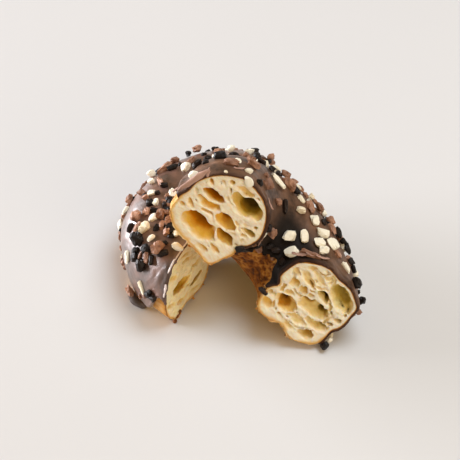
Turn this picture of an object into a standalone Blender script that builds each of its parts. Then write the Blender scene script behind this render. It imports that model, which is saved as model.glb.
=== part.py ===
"""A croissant doughnut cut in two across its hole: one half lies flat and the other leans on its end.

Each half is half a ring of risen dough under a chocolate coating that covers its top and sides. A half is
modelled in a frame of its own: Z is the doughnut's axis, the dough lies towards +Y, the cut faces -Y, and the
two cut ends lie at -X and +X. The ring angle runs around the doughnut, from 0 at the +X end to 180 degrees at
the -X end. The section angle runs around the dough: 0 on the doughnut's outer side, 90 degrees on top, 180
beside the hole.
"""

import math
from collections import namedtuple

import bmesh
import bpy
from mathutils import Matrix, Vector

MM = 0.001

# Driving dimensions of the doughnut
RING_RADIUS = 25.1 * MM     # from the doughnut's axis to the middle of the dough
HALF_WIDTH = 16.4 * MM      # from the middle of the dough to its side
HALF_HEIGHT = 17.0 * MM     # from the middle of the dough to its top
REST_HEIGHT = 16.8 * MM     # from the middle of the dough to the surface it lies flat on
TOP_EXPONENT = 2.1          # of the section's superellipse above the middle, almost an ellipse
BASE_EXPONENT = 3.4         # and below it, nearly square
BASE_NARROWING = 0.14       # the share of its width that the section loses at the base
COAT_THICKNESS = 1.2 * MM
COAT_GAP = 0.3 * MM         # between the dough and the coating
EDGE_WAVE = 3.0             # degrees by which the coating's lower edge rises and falls
LONG_WAVES, LONG_SHARE, LONG_START = 5.0, 0.6, 0.4      # how many to a turn, their share and their start
SHORT_WAVES, SHORT_SHARE = 11.0, 0.4
LEANING_FLOOR = -18.5 * MM  # the leaning half's base is free, so it may sag lower than the flat one's

# Fineness of the meshes
RING_SEGMENTS = 60
COATED_SEGMENTS = 17        # around the coated part of the section
BASE_SEGMENTS = 9           # around its bare base
OVERRUN_SEGMENTS = 2        # by which the coating passes each end before it is cut
CELL_SEGMENTS = 12
CELL_RINGS = 8
CELL_SINK = 0.12            # share of a cell's depth by which its middle lies outside the cut
KNIFE_SIZE = 160 * MM       # of the block that makes the cut, larger than the doughnut

# A rounded swelling (or dent) of the crust: its place, its height and its spread, in degrees and metres
Swelling = namedtuple("Swelling", "ring section height ring_spread section_spread")

# A large air cell that the cut opens: how far its middle lies outwards and upwards from the middle of the
# dough, its half length, half width and depth, and the turn of its length from outwards to up, in degrees
Cell = namedtuple("Cell", "end outward up half_length half_width depth turn")

# One half: where the cut lies along Y, the section angles at which the coating ends, at the +X and the -X
# end, on the outer side and beside the hole, the lowest height of its base, and its swellings and cells
Half = namedtuple("Half", "cut outer_edge inner_edge floor swellings cells")

FLAT_HALF = Half(
    cut=5.2 * MM,
    outer_edge=(-36.0, -30.0),
    inner_edge=(193.0, 197.0),
    floor=-REST_HEIGHT,
    swellings=(
        Swelling(165, 52, 1.1 * MM, 30, 11),
        Swelling(172, 229, 2.2 * MM, 22, 11),
        Swelling(172, 276, -2.6 * MM, 20, 26),
        Swelling(172, 304, 1.2 * MM, 20, 8),
        Swelling(120, 20, 0.6 * MM, 22, 30),
        Swelling(80, 75, -0.7 * MM, 20, 30),
        Swelling(45, 30, 0.5 * MM, 18, 34),
        Swelling(12, 150, 0.8 * MM, 24, 18),
        Swelling(12, 232, 1.6 * MM, 26, 12),
    ),
    cells=(
        Cell(-1, 4.8 * MM, -0.6 * MM, 4.9 * MM, 2.4 * MM, 3.0 * MM, 21),
        Cell(-1, 5.5 * MM, 9.0 * MM, 4.6 * MM, 2.2 * MM, 2.2 * MM, 34),
        Cell(-1, -5.2 * MM, -7.4 * MM, 4.2 * MM, 1.9 * MM, 2.2 * MM, -5),
        Cell(-1, -6.0 * MM, 4.5 * MM, 4.0 * MM, 2.4 * MM, 2.8 * MM, 20),
        Cell(1, 5.5 * MM, 6.5 * MM, 5.0 * MM, 3.0 * MM, 3.4 * MM, 150),
        Cell(1, -5.0 * MM, 5.0 * MM, 4.2 * MM, 2.6 * MM, 3.0 * MM, 25),
        Cell(1, 2.0 * MM, -5.5 * MM, 5.2 * MM, 2.6 * MM, 3.2 * MM, 8),
        Cell(1, -7.5 * MM, -7.0 * MM, 3.2 * MM, 1.8 * MM, 2.0 * MM, 0),
    ),
)

LEANING_HALF = Half(
    cut=-1.25 * MM,
    outer_edge=(-29.5, -19.5),
    inner_edge=(181.0, 199.0),
    floor=LEANING_FLOOR,
    swellings=(
        Swelling(0, 40, 1.3 * MM, 22, 10),
        Swelling(0, 90, -1.9 * MM, 26, 20),
        Swelling(0, 152, 1.5 * MM, 24, 13),
        Swelling(0, 193, -3.2 * MM, 16, 9),
        Swelling(0, 230, 1.6 * MM, 24, 12),
        Swelling(0, 272, -2.4 * MM, 24, 16),
        Swelling(0, 328, 1.3 * MM, 20, 9),
        Swelling(0, 352, -1.2 * MM, 20, 9),
        Swelling(22, 316, 1.3 * MM, 15, 15),
        Swelling(128, 277, 1.4 * MM, 22, 24),
        Swelling(180, 74, 0.7 * MM, 26, 14),
        Swelling(180, 165, 0.8 * MM, 24, 12),
        Swelling(180, 193, -1.8 * MM, 20, 9),
        Swelling(180, 231, 2.2 * MM, 26, 13),
        Swelling(180, 322, 0.7 * MM, 22, 9),
        Swelling(180, 356, -0.8 * MM, 22, 9),
        Swelling(70, 100, 0.7 * MM, 26, 30),
        Swelling(120, 60, -0.5 * MM, 20, 30),
    ),
    cells=(
        Cell(-1, 4.2 * MM, -8.4 * MM, 5.9 * MM, 3.1 * MM, 4.2 * MM, 5),
        Cell(-1, -4.5 * MM, 9.4 * MM, 5.4 * MM, 3.7 * MM, 3.6 * MM, -3),
        Cell(-1, 8.0 * MM, 3.0 * MM, 3.8 * MM, 2.2 * MM, 2.6 * MM, 5),
        Cell(-1, -2.4 * MM, 0.1 * MM, 3.7 * MM, 2.4 * MM, 3.0 * MM, 3),
        Cell(-1, -7.9 * MM, -5.9 * MM, 3.8 * MM, 2.1 * MM, 3.0 * MM, 2),
        Cell(1, 6.7 * MM, 10.2 * MM, 5.6 * MM, 2.9 * MM, 3.2 * MM, 161),
        Cell(1, 1.6 * MM, -1.2 * MM, 5.4 * MM, 3.0 * MM, 3.6 * MM, 6),
        Cell(1, -5.7 * MM, -6.6 * MM, 4.6 * MM, 2.1 * MM, 2.8 * MM, 163),
        Cell(1, 0.2 * MM, 6.2 * MM, 2.8 * MM, 1.7 * MM, 3.0 * MM, 12),
        Cell(1, 9.6 * MM, -9.8 * MM, 3.1 * MM, 1.7 * MM, 2.0 * MM, 16),
    ),
)

# Where the halves lie: the middle of each ring, and its turns in degrees
FLAT_CENTRE = Vector((-3.08 * MM, -0.32 * MM, REST_HEIGHT))
FLAT_TURN = 60.55           # about the vertical
LEAN_CENTRE = Vector((10.10 * MM, -30.09 * MM, 38.37 * MM))
LEAN_TURN = -21.99          # of the half about its own axis
LEAN_TILT = 49.33           # of that axis from the vertical
LEAN_HEADING = 12.78        # of the tilted axis about the vertical

DOUGH_COLOUR = (0.86, 0.62, 0.30)
FLAT_COAT_COLOUR = (0.16, 0.075, 0.045)
LEAN_COAT_COLOUR = (0.13, 0.058, 0.034)
DOUGH_ROUGHNESS, COAT_ROUGHNESS = 0.85, 0.38


def clear_scene():
    """Take out whatever the file holds."""
    for item in list(bpy.data.objects):
        bpy.data.objects.remove(item, do_unlink=True)
    for group in list(bpy.data.collections):
        bpy.data.collections.remove(group)


def new_collection(name):
    """Return a new collection of the scene."""
    group = bpy.data.collections.new(name)
    bpy.context.scene.collection.children.link(group)
    return group


def move_to(item, group):
    """Keep an object in one collection only."""
    for old in list(item.users_collection):
        old.objects.unlink(item)
    group.objects.link(item)


def matte(name, colour, roughness):
    """Return a plain opaque material."""
    finish = bpy.data.materials.new(name)
    finish.use_nodes = True
    shader = finish.node_tree.nodes["Principled BSDF"]
    shader.inputs["Base Color"].default_value = (*colour, 1.0)
    shader.inputs["Roughness"].default_value = roughness
    shader.inputs["Metallic"].default_value = 0.0
    return finish


def wrapped(angle):
    """Return an angle in degrees brought between -180 and 180."""
    return (angle + 180.0) % 360.0 - 180.0


def swell(half, ring_angle, section_angle):
    """Return how far the crust stands out at a place: a sum of rounded swellings and dents."""
    total = 0.0
    for bump in half.swellings:
        along = wrapped(ring_angle - bump.ring) / bump.ring_spread
        around = wrapped(section_angle - bump.section) / bump.section_spread
        total += bump.height * math.exp(-along * along - around * around)
    return total


def ring_point(half, ring_angle, section_angle, growth=0.0):
    """Return a point of the dough's outside, or of a surface that lies the growth outside it."""
    out, up = math.cos(math.radians(section_angle)), math.sin(math.radians(section_angle))
    exponent = BASE_EXPONENT if up < 0.0 else TOP_EXPONENT
    reach = (abs(out) ** exponent + abs(up) ** exponent) ** (-1.0 / exponent)
    extra = swell(half, ring_angle, section_angle) + growth
    height = (HALF_HEIGHT * reach + extra) * up
    width = (HALF_WIDTH * reach + extra) * out
    if up < 0.0:
        width *= 1.0 - BASE_NARROWING * (height / HALF_HEIGHT) ** 2
    height = max(height, half.floor)
    radius = RING_RADIUS + width
    turn = math.radians(ring_angle)
    return Vector((radius * math.cos(turn), radius * math.sin(turn), height))


def coat_edges(half, ring_angle):
    """Return the section angles at which the coating ends, on the outer side and then beside the hole."""
    share = ring_angle / 180.0
    turn = math.radians(ring_angle)
    long_wave = LONG_SHARE * math.sin(LONG_WAVES * turn + LONG_START)
    wave = EDGE_WAVE * (long_wave + SHORT_SHARE * math.sin(SHORT_WAVES * turn))
    outer = half.outer_edge[0] + (half.outer_edge[1] - half.outer_edge[0]) * share + wave
    inner = half.inner_edge[0] + (half.inner_edge[1] - half.inner_edge[0]) * share - wave
    return outer, inner


def section_angle(half, ring_angle, step):
    """Return the section angle of a row of corners, so that the dough's rows lie under the coating's.

    Rows 0 to COATED_SEGMENTS run over the top from the coating's outer edge to its inner one. The rest run on
    under the base.
    """
    outer, inner = coat_edges(half, ring_angle)
    if step <= COATED_SEGMENTS:
        return outer + (inner - outer) * step / COATED_SEGMENTS
    return inner + (360.0 + outer - inner) * (step - COATED_SEGMENTS) / BASE_SEGMENTS


def half_space_cutter(half, name, cutters):
    """Return a block that takes away everything on the open side of the cut."""
    bpy.ops.mesh.primitive_cube_add(size=KNIFE_SIZE, location=(0.0, half.cut - KNIFE_SIZE / 2.0, 0.0))
    return as_cutter(bpy.context.object, name, cutters)


def cell_cutter(half, cell, name, cutters):
    """Return the egg that one air cell leaves in the cut face."""
    bpy.ops.mesh.primitive_uv_sphere_add(segments=CELL_SEGMENTS, ring_count=CELL_RINGS, radius=1.0)
    egg = bpy.context.object
    egg.scale = (cell.half_length, cell.depth, cell.half_width)
    egg.rotation_euler = (0.0, -cell.end * math.radians(cell.turn), 0.0)
    egg.location = (cell.end * (RING_RADIUS + cell.outward), half.cut - CELL_SINK * cell.depth, cell.up)
    return as_cutter(egg, name, cutters)


def as_cutter(item, name, cutters):
    """Name an object and keep it out of the part."""
    item.name = name
    item.hide_render = True
    item.display_type = "WIRE"
    move_to(item, cutters)
    return item


def cut_away(item, cutter):
    """Cut one solid by another."""
    step = item.modifiers.new(cutter.name, "BOOLEAN")
    step.operation = "DIFFERENCE"
    step.solver = "EXACT"
    step.object = cutter


def make_dough(half, name, finish, group):
    """Return the dough's ring: a torus moved to the risen section."""
    section_segments = COATED_SEGMENTS + BASE_SEGMENTS
    bpy.ops.mesh.primitive_torus_add(
        major_segments=RING_SEGMENTS, minor_segments=section_segments,
        major_radius=RING_RADIUS, minor_radius=HALF_WIDTH,
    )
    ring = bpy.context.object
    ring.name = name
    for corner in ring.data.vertices:
        x, y, z = corner.co
        ring_angle = (math.degrees(math.atan2(y, x)) + 90.0) % 360.0 - 90.0
        around = math.atan2(z, math.hypot(x, y) - RING_RADIUS) / math.tau
        step = round(around * section_segments) % section_segments
        corner.co = ring_point(half, ring_angle, section_angle(half, ring_angle, step))
    return finished(ring, finish, group)


def make_coating(half, name, finish, group):
    """Return the coating: a sheet bent over the dough's top and sides, given its thickness outwards."""
    length = RING_SEGMENTS // 2 + 2 * OVERRUN_SEGMENTS
    bpy.ops.mesh.primitive_grid_add(x_subdivisions=length, y_subdivisions=COATED_SEGMENTS, size=2.0)
    sheet = bpy.context.object
    sheet.name = name
    for corner in sheet.data.vertices:
        along, around = (corner.co.x + 1.0) / 2.0, (corner.co.y + 1.0) / 2.0
        ring_angle = (along * length - OVERRUN_SEGMENTS) * 360.0 / RING_SEGMENTS
        angle = section_angle(half, ring_angle, around * COATED_SEGMENTS)
        corner.co = ring_point(half, ring_angle, angle, COAT_GAP)
    face_outwards(sheet.data)
    wall = sheet.modifiers.new("coating_thickness", "SOLIDIFY")
    wall.thickness = COAT_THICKNESS
    wall.offset = 1.0
    wall.use_even_offset = True
    return finished(sheet, finish, group)


def face_outwards(mesh):
    """Turn a sheet's faces to the side that is farther from the middle of the dough."""
    shape = bmesh.new()
    shape.from_mesh(mesh)
    shape.normal_update()
    inwards = 0
    for face in shape.faces:
        middle = face.calc_center_median()
        core = Vector((middle.x, middle.y, 0.0)).normalized() * RING_RADIUS
        inwards += 1 if face.normal.dot(middle - core) < 0.0 else -1
    if inwards > 0:
        bmesh.ops.reverse_faces(shape, faces=shape.faces[:])
    shape.to_mesh(mesh)
    shape.free()


def finished(item, finish, group):
    """Shade an object smooth, give it its material and keep it in the doughnut's collection."""
    item.data.materials.append(finish)
    item.data.shade_smooth()
    move_to(item, group)
    return item


def placed(name, place, children):
    """Hang the children on an empty and move it to its place."""
    holder = bpy.data.objects.new(name, None)
    bpy.context.scene.collection.objects.link(holder)
    for child in children:
        child.parent = holder
    holder.matrix_world = place
    return holder


def make_half(half, name, coat_colour, place, group, cutters):
    """Model one half of the doughnut and lay it in its place."""
    crumb = matte(f"{name}_crumb", DOUGH_COLOUR, DOUGH_ROUGHNESS)
    chocolate = matte(f"{name}_chocolate", coat_colour, COAT_ROUGHNESS)
    dough = make_dough(half, f"{name}_dough", crumb, group)
    coating = make_coating(half, f"{name}_coating", chocolate, group)
    knife = half_space_cutter(half, f"{name}_knife", cutters)
    cut_away(dough, knife)
    cut_away(coating, knife)
    eggs = []
    for number, cell in enumerate(half.cells):
        egg = cell_cutter(half, cell, f"{name}_cell_{number}", cutters)
        cut_away(dough, egg)
        eggs.append(egg)
    placed(name, place, [dough, coating, knife, *eggs])


def turned(angle, axis):
    """Return a rotation by an angle in degrees."""
    return Matrix.Rotation(math.radians(angle), 4, axis)


def main():
    """Build both halves."""
    clear_scene()
    group = new_collection("croissant_doughnut")
    cutters = new_collection("cutters")
    flat_place = Matrix.Translation(FLAT_CENTRE) @ turned(FLAT_TURN, "Z")
    lean_turns = turned(LEAN_HEADING, "Z") @ turned(LEAN_TILT, "Y") @ turned(LEAN_TURN, "Z")
    lean_place = Matrix.Translation(LEAN_CENTRE) @ lean_turns
    make_half(FLAT_HALF, "flat_half", FLAT_COAT_COLOUR, flat_place, group, cutters)
    make_half(LEANING_HALF, "leaning_half", LEAN_COAT_COLOUR, lean_place, group, cutters)


main()
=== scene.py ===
"""The looks of a croissant doughnut cut in two: crust, open crumb, chocolate coating and the bits on it.

Lengths are in millimetres until a mesh is written. Each half is worked out in a frame of its own: Z is the
doughnut's axis, the dough lies towards +Y, the cut faces -Y. The ring angle runs from 0 at the +X end to 180
degrees at the -X end. The section angle is 0 on the outer side, 90 on top and 180 beside the hole.
"""

import logging
import math
from dataclasses import dataclass, field
from enum import Enum, IntEnum

import bmesh
import bpy
import numpy as np
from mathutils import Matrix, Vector
from mathutils.bvhtree import BVHTree


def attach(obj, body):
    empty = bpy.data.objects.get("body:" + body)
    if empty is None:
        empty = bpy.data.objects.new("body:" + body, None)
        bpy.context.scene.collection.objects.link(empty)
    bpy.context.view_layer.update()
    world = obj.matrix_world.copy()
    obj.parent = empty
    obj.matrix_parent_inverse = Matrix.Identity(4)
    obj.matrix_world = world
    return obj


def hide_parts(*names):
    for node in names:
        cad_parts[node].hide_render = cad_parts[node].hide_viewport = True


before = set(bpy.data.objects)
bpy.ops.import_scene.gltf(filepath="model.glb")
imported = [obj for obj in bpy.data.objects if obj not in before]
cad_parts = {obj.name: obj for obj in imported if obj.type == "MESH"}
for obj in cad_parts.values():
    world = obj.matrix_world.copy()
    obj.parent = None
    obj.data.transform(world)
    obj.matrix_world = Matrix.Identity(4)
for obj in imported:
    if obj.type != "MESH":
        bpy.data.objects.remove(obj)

Array = np.ndarray
Triple = Colour = Place = tuple[float, float, float]
Span = tuple[float, float]
Object, Material, Socket = bpy.types.Object, bpy.types.Material, bpy.types.NodeSocket
Value = Socket | float | Colour
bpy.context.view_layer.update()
MM = 0.001
LOG = logging.getLogger("croissant_doughnut")

# The dough's ring, as in the CAD part
RING_RADIUS = 25.1
HALF_WIDTH = 16.4
HALF_HEIGHT = 17.0
TOP_EXPONENT = 2.1
BASE_EXPONENT = 3.4
BASE_NARROWING = 0.14
COAT_GAP = 0.3
COAT_THICKNESS = 1.2
EDGE_WAVE = 3.0

RIND = 0.32              # thickness of the crust's rim where the dough is cut
CRUMB_DEPTH = 8.6        # how deep the crumb is modelled behind each cut
VOXEL = 0.25             # fineness of the crumb
CLEAR = 0.02             # how far everything stays above the floor
STAND_OUT = 1.1          # how far a bit on the outline stands off the coating at most
FAR = 9.0                # a field's value well outside a solid
NOISE_RING = 25.0        # radii at which noises are laid along the ring and around its section
NOISE_SECTION = 16.0
SEARCH = (560.0, 740.0, 121)  # where a sight line that misses is searched: from, to, and how many places

# Odd numbers that scatter a lattice corner's indices and a seed
CORNER_MIX = tuple(np.uint32(number) for number in (374761393, 668265263, 2246822519))
ROUND_MIX = tuple(np.uint32(number) for number in (739982445, 695872825))
SEED_MIX = 3266489917


class End(IntEnum):
    """Which end of a half a cut is at, as the sign of its X."""

    RIGHT = 1
    LEFT = -1


class Side(IntEnum):
    """Which edge of a coating a drip is on."""

    OUTER = 1
    HOLE = -1


def many(kind: type, *rows: tuple[float, ...]) -> tuple:
    """Return one object of a dataclass for each row of its values."""
    return tuple(kind(*row) for row in rows)


def smoothstep(low: float, high: float, value: Array) -> Array:
    """Return 0 below low, 1 above high and 3t^2 - 2t^3 between them."""
    share = np.clip((value - low) / (high - low), 0.0, 1.0)
    return share * share * (3.0 - 2.0 * share)


def smooth_max(first: Array, second: Array, blend: float) -> Array:
    """Return the larger value, rounded where the two are closer than blend."""
    near = np.maximum(blend - np.abs(first - second), 0.0)
    return np.maximum(first, second) + near * near / (4.0 * blend)


def smooth_min(first: Array, second: Array, blend: float) -> Array:
    """Return the smaller value, rounded where the two are closer than blend."""
    return -smooth_max(-first, -second, blend)


def unit(vectors: Array) -> Array:
    """Return vectors over their own lengths."""
    return vectors / np.linalg.norm(vectors, axis=-1, keepdims=True)


def wrapped(angle: Array, start: float) -> Array:
    """Return angles brought into the turn that begins at start."""
    return (angle - start) % 360.0 + start


def band(value: Array, rise: Span, fall: Span) -> Array:
    """Return a mask that rises from 0 to 1 over one span and falls over another."""
    return smoothstep(*rise, value) * (1.0 - smoothstep(*fall, value))


def corner_value(corner: Array, seed: int) -> Array:
    """Return a scattered value from -1 to 1 for each corner of a cubic lattice: its mixed indices."""
    x, y, z = (corner[..., k] * CORNER_MIX[k] for k in range(3))
    mixed = x ^ y ^ z
    mixed = mixed ^ np.uint32(seed * SEED_MIX & 0xFFFFFFFF)
    mixed = (mixed ^ (mixed >> np.uint32(15))) * ROUND_MIX[0]
    mixed = (mixed ^ (mixed >> np.uint32(12))) * ROUND_MIX[1]
    mixed = mixed ^ (mixed >> np.uint32(15))
    return mixed / 2.0 ** 31 - 1.0


def value_noise(points: Array, size: float, seed: int) -> Array:
    """Return a smooth random field from -1 to 1: scattered lattice values size apart, blended by smoothstep.

    Args:
        points: Places, with x, y and z on the last axis.
        size: Spacing of the lattice.
        seed: Number of the field.

    Returns:
        One value for each place.
    """
    scaled = points / size
    base = np.floor(scaled)
    share = scaled - base
    share = share * share * (3.0 - 2.0 * share)
    corner = base.astype(np.int64).astype(np.uint32)
    total = np.zeros(points.shape[:-1])
    for dx in (0, 1):
        wx = share[..., 0] if dx else 1.0 - share[..., 0]
        for dy in (0, 1):
            wy = wx * (share[..., 1] if dy else 1.0 - share[..., 1])
            for dz in (0, 1):
                weight = wy * (share[..., 2] if dz else 1.0 - share[..., 2])
                total += weight * corner_value(corner + np.array((dx, dy, dz), np.uint32), seed)
    return total


def fractal_noise(points: Array, size: float, seed: int, octaves: int = 3) -> Array:
    """Return noise whose octaves halve in size and in strength."""
    total, strength, reach = 0.0, 1.0, 0.0
    for octave in range(octaves):
        total = total + strength * value_noise(points, size / 2 ** octave, seed + 17 * octave)
        reach += strength
        strength *= 0.5
    return total / reach


# ----- meshes

def write_piece(name: str, points: Array, faces: list[Array], material: Material,
                values: dict[str, Array] | None = None) -> Object:
    """Make an object of a mesh worked out in millimetres.

    Args:
        name: Name of the piece.
        points: Corners, in millimetres.
        faces: Arrays of corner numbers, each with its own number of corners to a face.
        material: Its material.
        values: Named values of the corners: one number or three for each.

    Returns:
        The object, linked to the scene, at the origin.
    """
    mesh = bpy.data.meshes.new(name)
    loops = np.concatenate([group.reshape(-1) for group in faces]).astype(np.int32)
    sizes = np.concatenate([np.full(len(group), group.shape[1]) for group in faces])
    starts = np.concatenate([[0], np.cumsum(sizes)[:-1]]).astype(np.int32)
    mesh.vertices.add(len(points))
    mesh.vertices.foreach_set("co", (points * MM).astype(np.float32).reshape(-1))
    mesh.loops.add(len(loops))
    mesh.loops.foreach_set("vertex_index", loops)
    mesh.polygons.add(len(starts))
    mesh.polygons.foreach_set("loop_start", starts)
    mesh.update(calc_edges=True)
    mesh.validate()
    for label, value in (values or {}).items():
        kind, slot = ("FLOAT", "value") if value.ndim == 1 else ("FLOAT_VECTOR", "vector")
        layer = mesh.attributes.new(label, kind, "POINT")
        layer.data.foreach_set(slot, value.astype(np.float32).reshape(-1))
    mesh.shade_smooth()
    mesh.materials.append(material)
    piece = bpy.data.objects.new(name, mesh)
    bpy.context.scene.collection.objects.link(piece)
    return piece


def read_values(elements: bpy.types.bpy_prop_collection, key: str, size: int, kind: type = float) -> Array:
    """Return one property of a mesh's elements, a row of so many numbers for each."""
    values = np.zeros(len(elements) * size, kind)
    elements.foreach_get(key, values)
    return values.reshape(-1, size)


def sheet_faces(rows: int, columns: int) -> Array:
    """Return the quads of a grid of corners numbered row by row and closed across the columns."""
    row = np.arange(rows - 1)[:, None]
    column = np.arange(columns)[None, :]
    after = (column + 1) % columns
    quads = np.stack(np.broadcast_arrays(
        row * columns + column, (row + 1) * columns + column,
        (row + 1) * columns + after, row * columns + after), axis=-1)
    return quads.reshape(-1, 4)


def end_strip(columns: int) -> Array:
    """Return the quads that close a thin shell's end, whose rows run out on one side and back."""
    out = np.arange(columns - 1)
    back = 2 * columns - 1 - out
    return np.stack((out, out + 1, back - 1, back), axis=-1)


def repeated_faces(faces: Array, count: int, corners: int) -> Array:
    """Return a shape's faces for count copies of it, with so many corners each."""
    return (faces[None] + (np.arange(count) * corners)[:, None, None]).reshape(-1, faces.shape[1])


def fan_faces(first: int, columns: int, pole: int, ahead: bool) -> Array:
    """Return the triangles between a closed row of corners and its pole, ahead of the row or before it."""
    column = np.arange(columns)
    after = (column + 1) % columns
    middle = np.full(columns, pole)
    near, far = first + column, first + after
    order = (near, middle, far) if ahead else (middle, near, far)
    return np.stack(order, axis=-1)


def lattice_places(low: Array, size: Array, step: float, spare: int) -> Array:
    """Return the places of a cubic lattice over a box, with spare planes at the far sides."""
    axes = [low[k] + step * np.arange(int(size[k] / step) + spare) for k in range(3)]
    return np.stack(np.meshgrid(*axes, indexing="ij"), axis=-1)


def surface_net(values: Array, origin: Array, step: float) -> tuple[Array, Array]:
    """Return the surface where a field on a lattice is zero, with its faces turned to the positive side.

    One corner stands in each lattice cube whose own corners differ in sign, at the mean of the places where
    its edges cross zero; one quad joins the four cubes around each lattice edge that crosses zero.

    Args:
        values: Field values, negative inside the solid.
        origin: Place of the first lattice corner.
        step: Spacing of the lattice.

    Returns:
        Corners and quads.
    """
    inside = values < 0.0
    count = np.zeros(tuple(n - 1 for n in values.shape), np.int8)
    for shift in np.ndindex(2, 2, 2):
        count += inside[tuple(slice(s, s + n) for s, n in zip(shift, count.shape))]
    active = (count > 0) & (count < 8)
    cubes = np.argwhere(active)
    number = np.full(active.shape, -1, np.int64)
    number[active] = np.arange(len(cubes))
    total, hits = np.zeros((len(cubes), 3)), np.zeros(len(cubes))
    quads = []
    for axis in range(3):
        side, other = (axis + 1) % 3, (axis + 2) % 3
        for a, b in np.ndindex(2, 2):
            start = np.zeros(3, np.int64)
            start[side], start[other] = a, b
            low = cubes + start
            high = low.copy()
            high[:, axis] += 1
            first, last = values[tuple(low.T)], values[tuple(high.T)]
            crossed = (first < 0.0) != (last < 0.0)
            share = np.where(crossed, first / np.where(crossed, first - last, 1.0), 0.0)
            spot = np.tile(start.astype(float), (len(cubes), 1))
            spot[:, axis] = share
            total += spot * crossed[:, None]
            hits += crossed
        near = [slice(None)] * 3
        far = [slice(None)] * 3
        near[axis], far[axis] = slice(0, -1), slice(1, None)
        for k in (side, other):
            near[k] = far[k] = slice(1, -1)
        low, high = inside[tuple(near)], inside[tuple(far)]
        for solid_first in (True, False):
            edges = np.argwhere(low & ~high if solid_first else ~low & high)
            edges[:, side] += 1
            edges[:, other] += 1
            around = []
            for a, b in ((1, 1), (0, 1), (0, 0), (1, 0)):
                cube = edges.copy()
                cube[:, side] -= a
                cube[:, other] -= b
                around.append(number[tuple(cube.T)])
            quads.append(np.stack(around if solid_first else around[::-1], axis=-1))
    points = origin + (cubes + total / hits[:, None]) * step
    return points, np.concatenate(quads)


def largest_part(points: Array, quads: Array) -> tuple[Array, Array]:
    """Return only the largest connected part of a mesh: labels sink to the lowest one that they can reach."""
    label = np.arange(len(points))
    while True:
        lowest = label[quads].min(axis=1)
        new = label.copy()
        np.minimum.at(new, quads.reshape(-1), np.repeat(lowest, 4))
        new = new[new]
        if np.array_equal(new, label):
            break
        label = new
    main_label = np.bincount(label).argmax()
    kept = label == main_label
    renumber = np.cumsum(kept) - 1
    return points[kept], renumber[quads[kept[quads[:, 0]]]]


# ----- the dough's half rings

@dataclass(frozen=True)
class Swelling:
    """A rounded swelling or dent of the crust: its place and spread in degrees, its height in millimetres."""

    ring: float
    section: float
    height: float
    ring_spread: float
    section_spread: float


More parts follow.
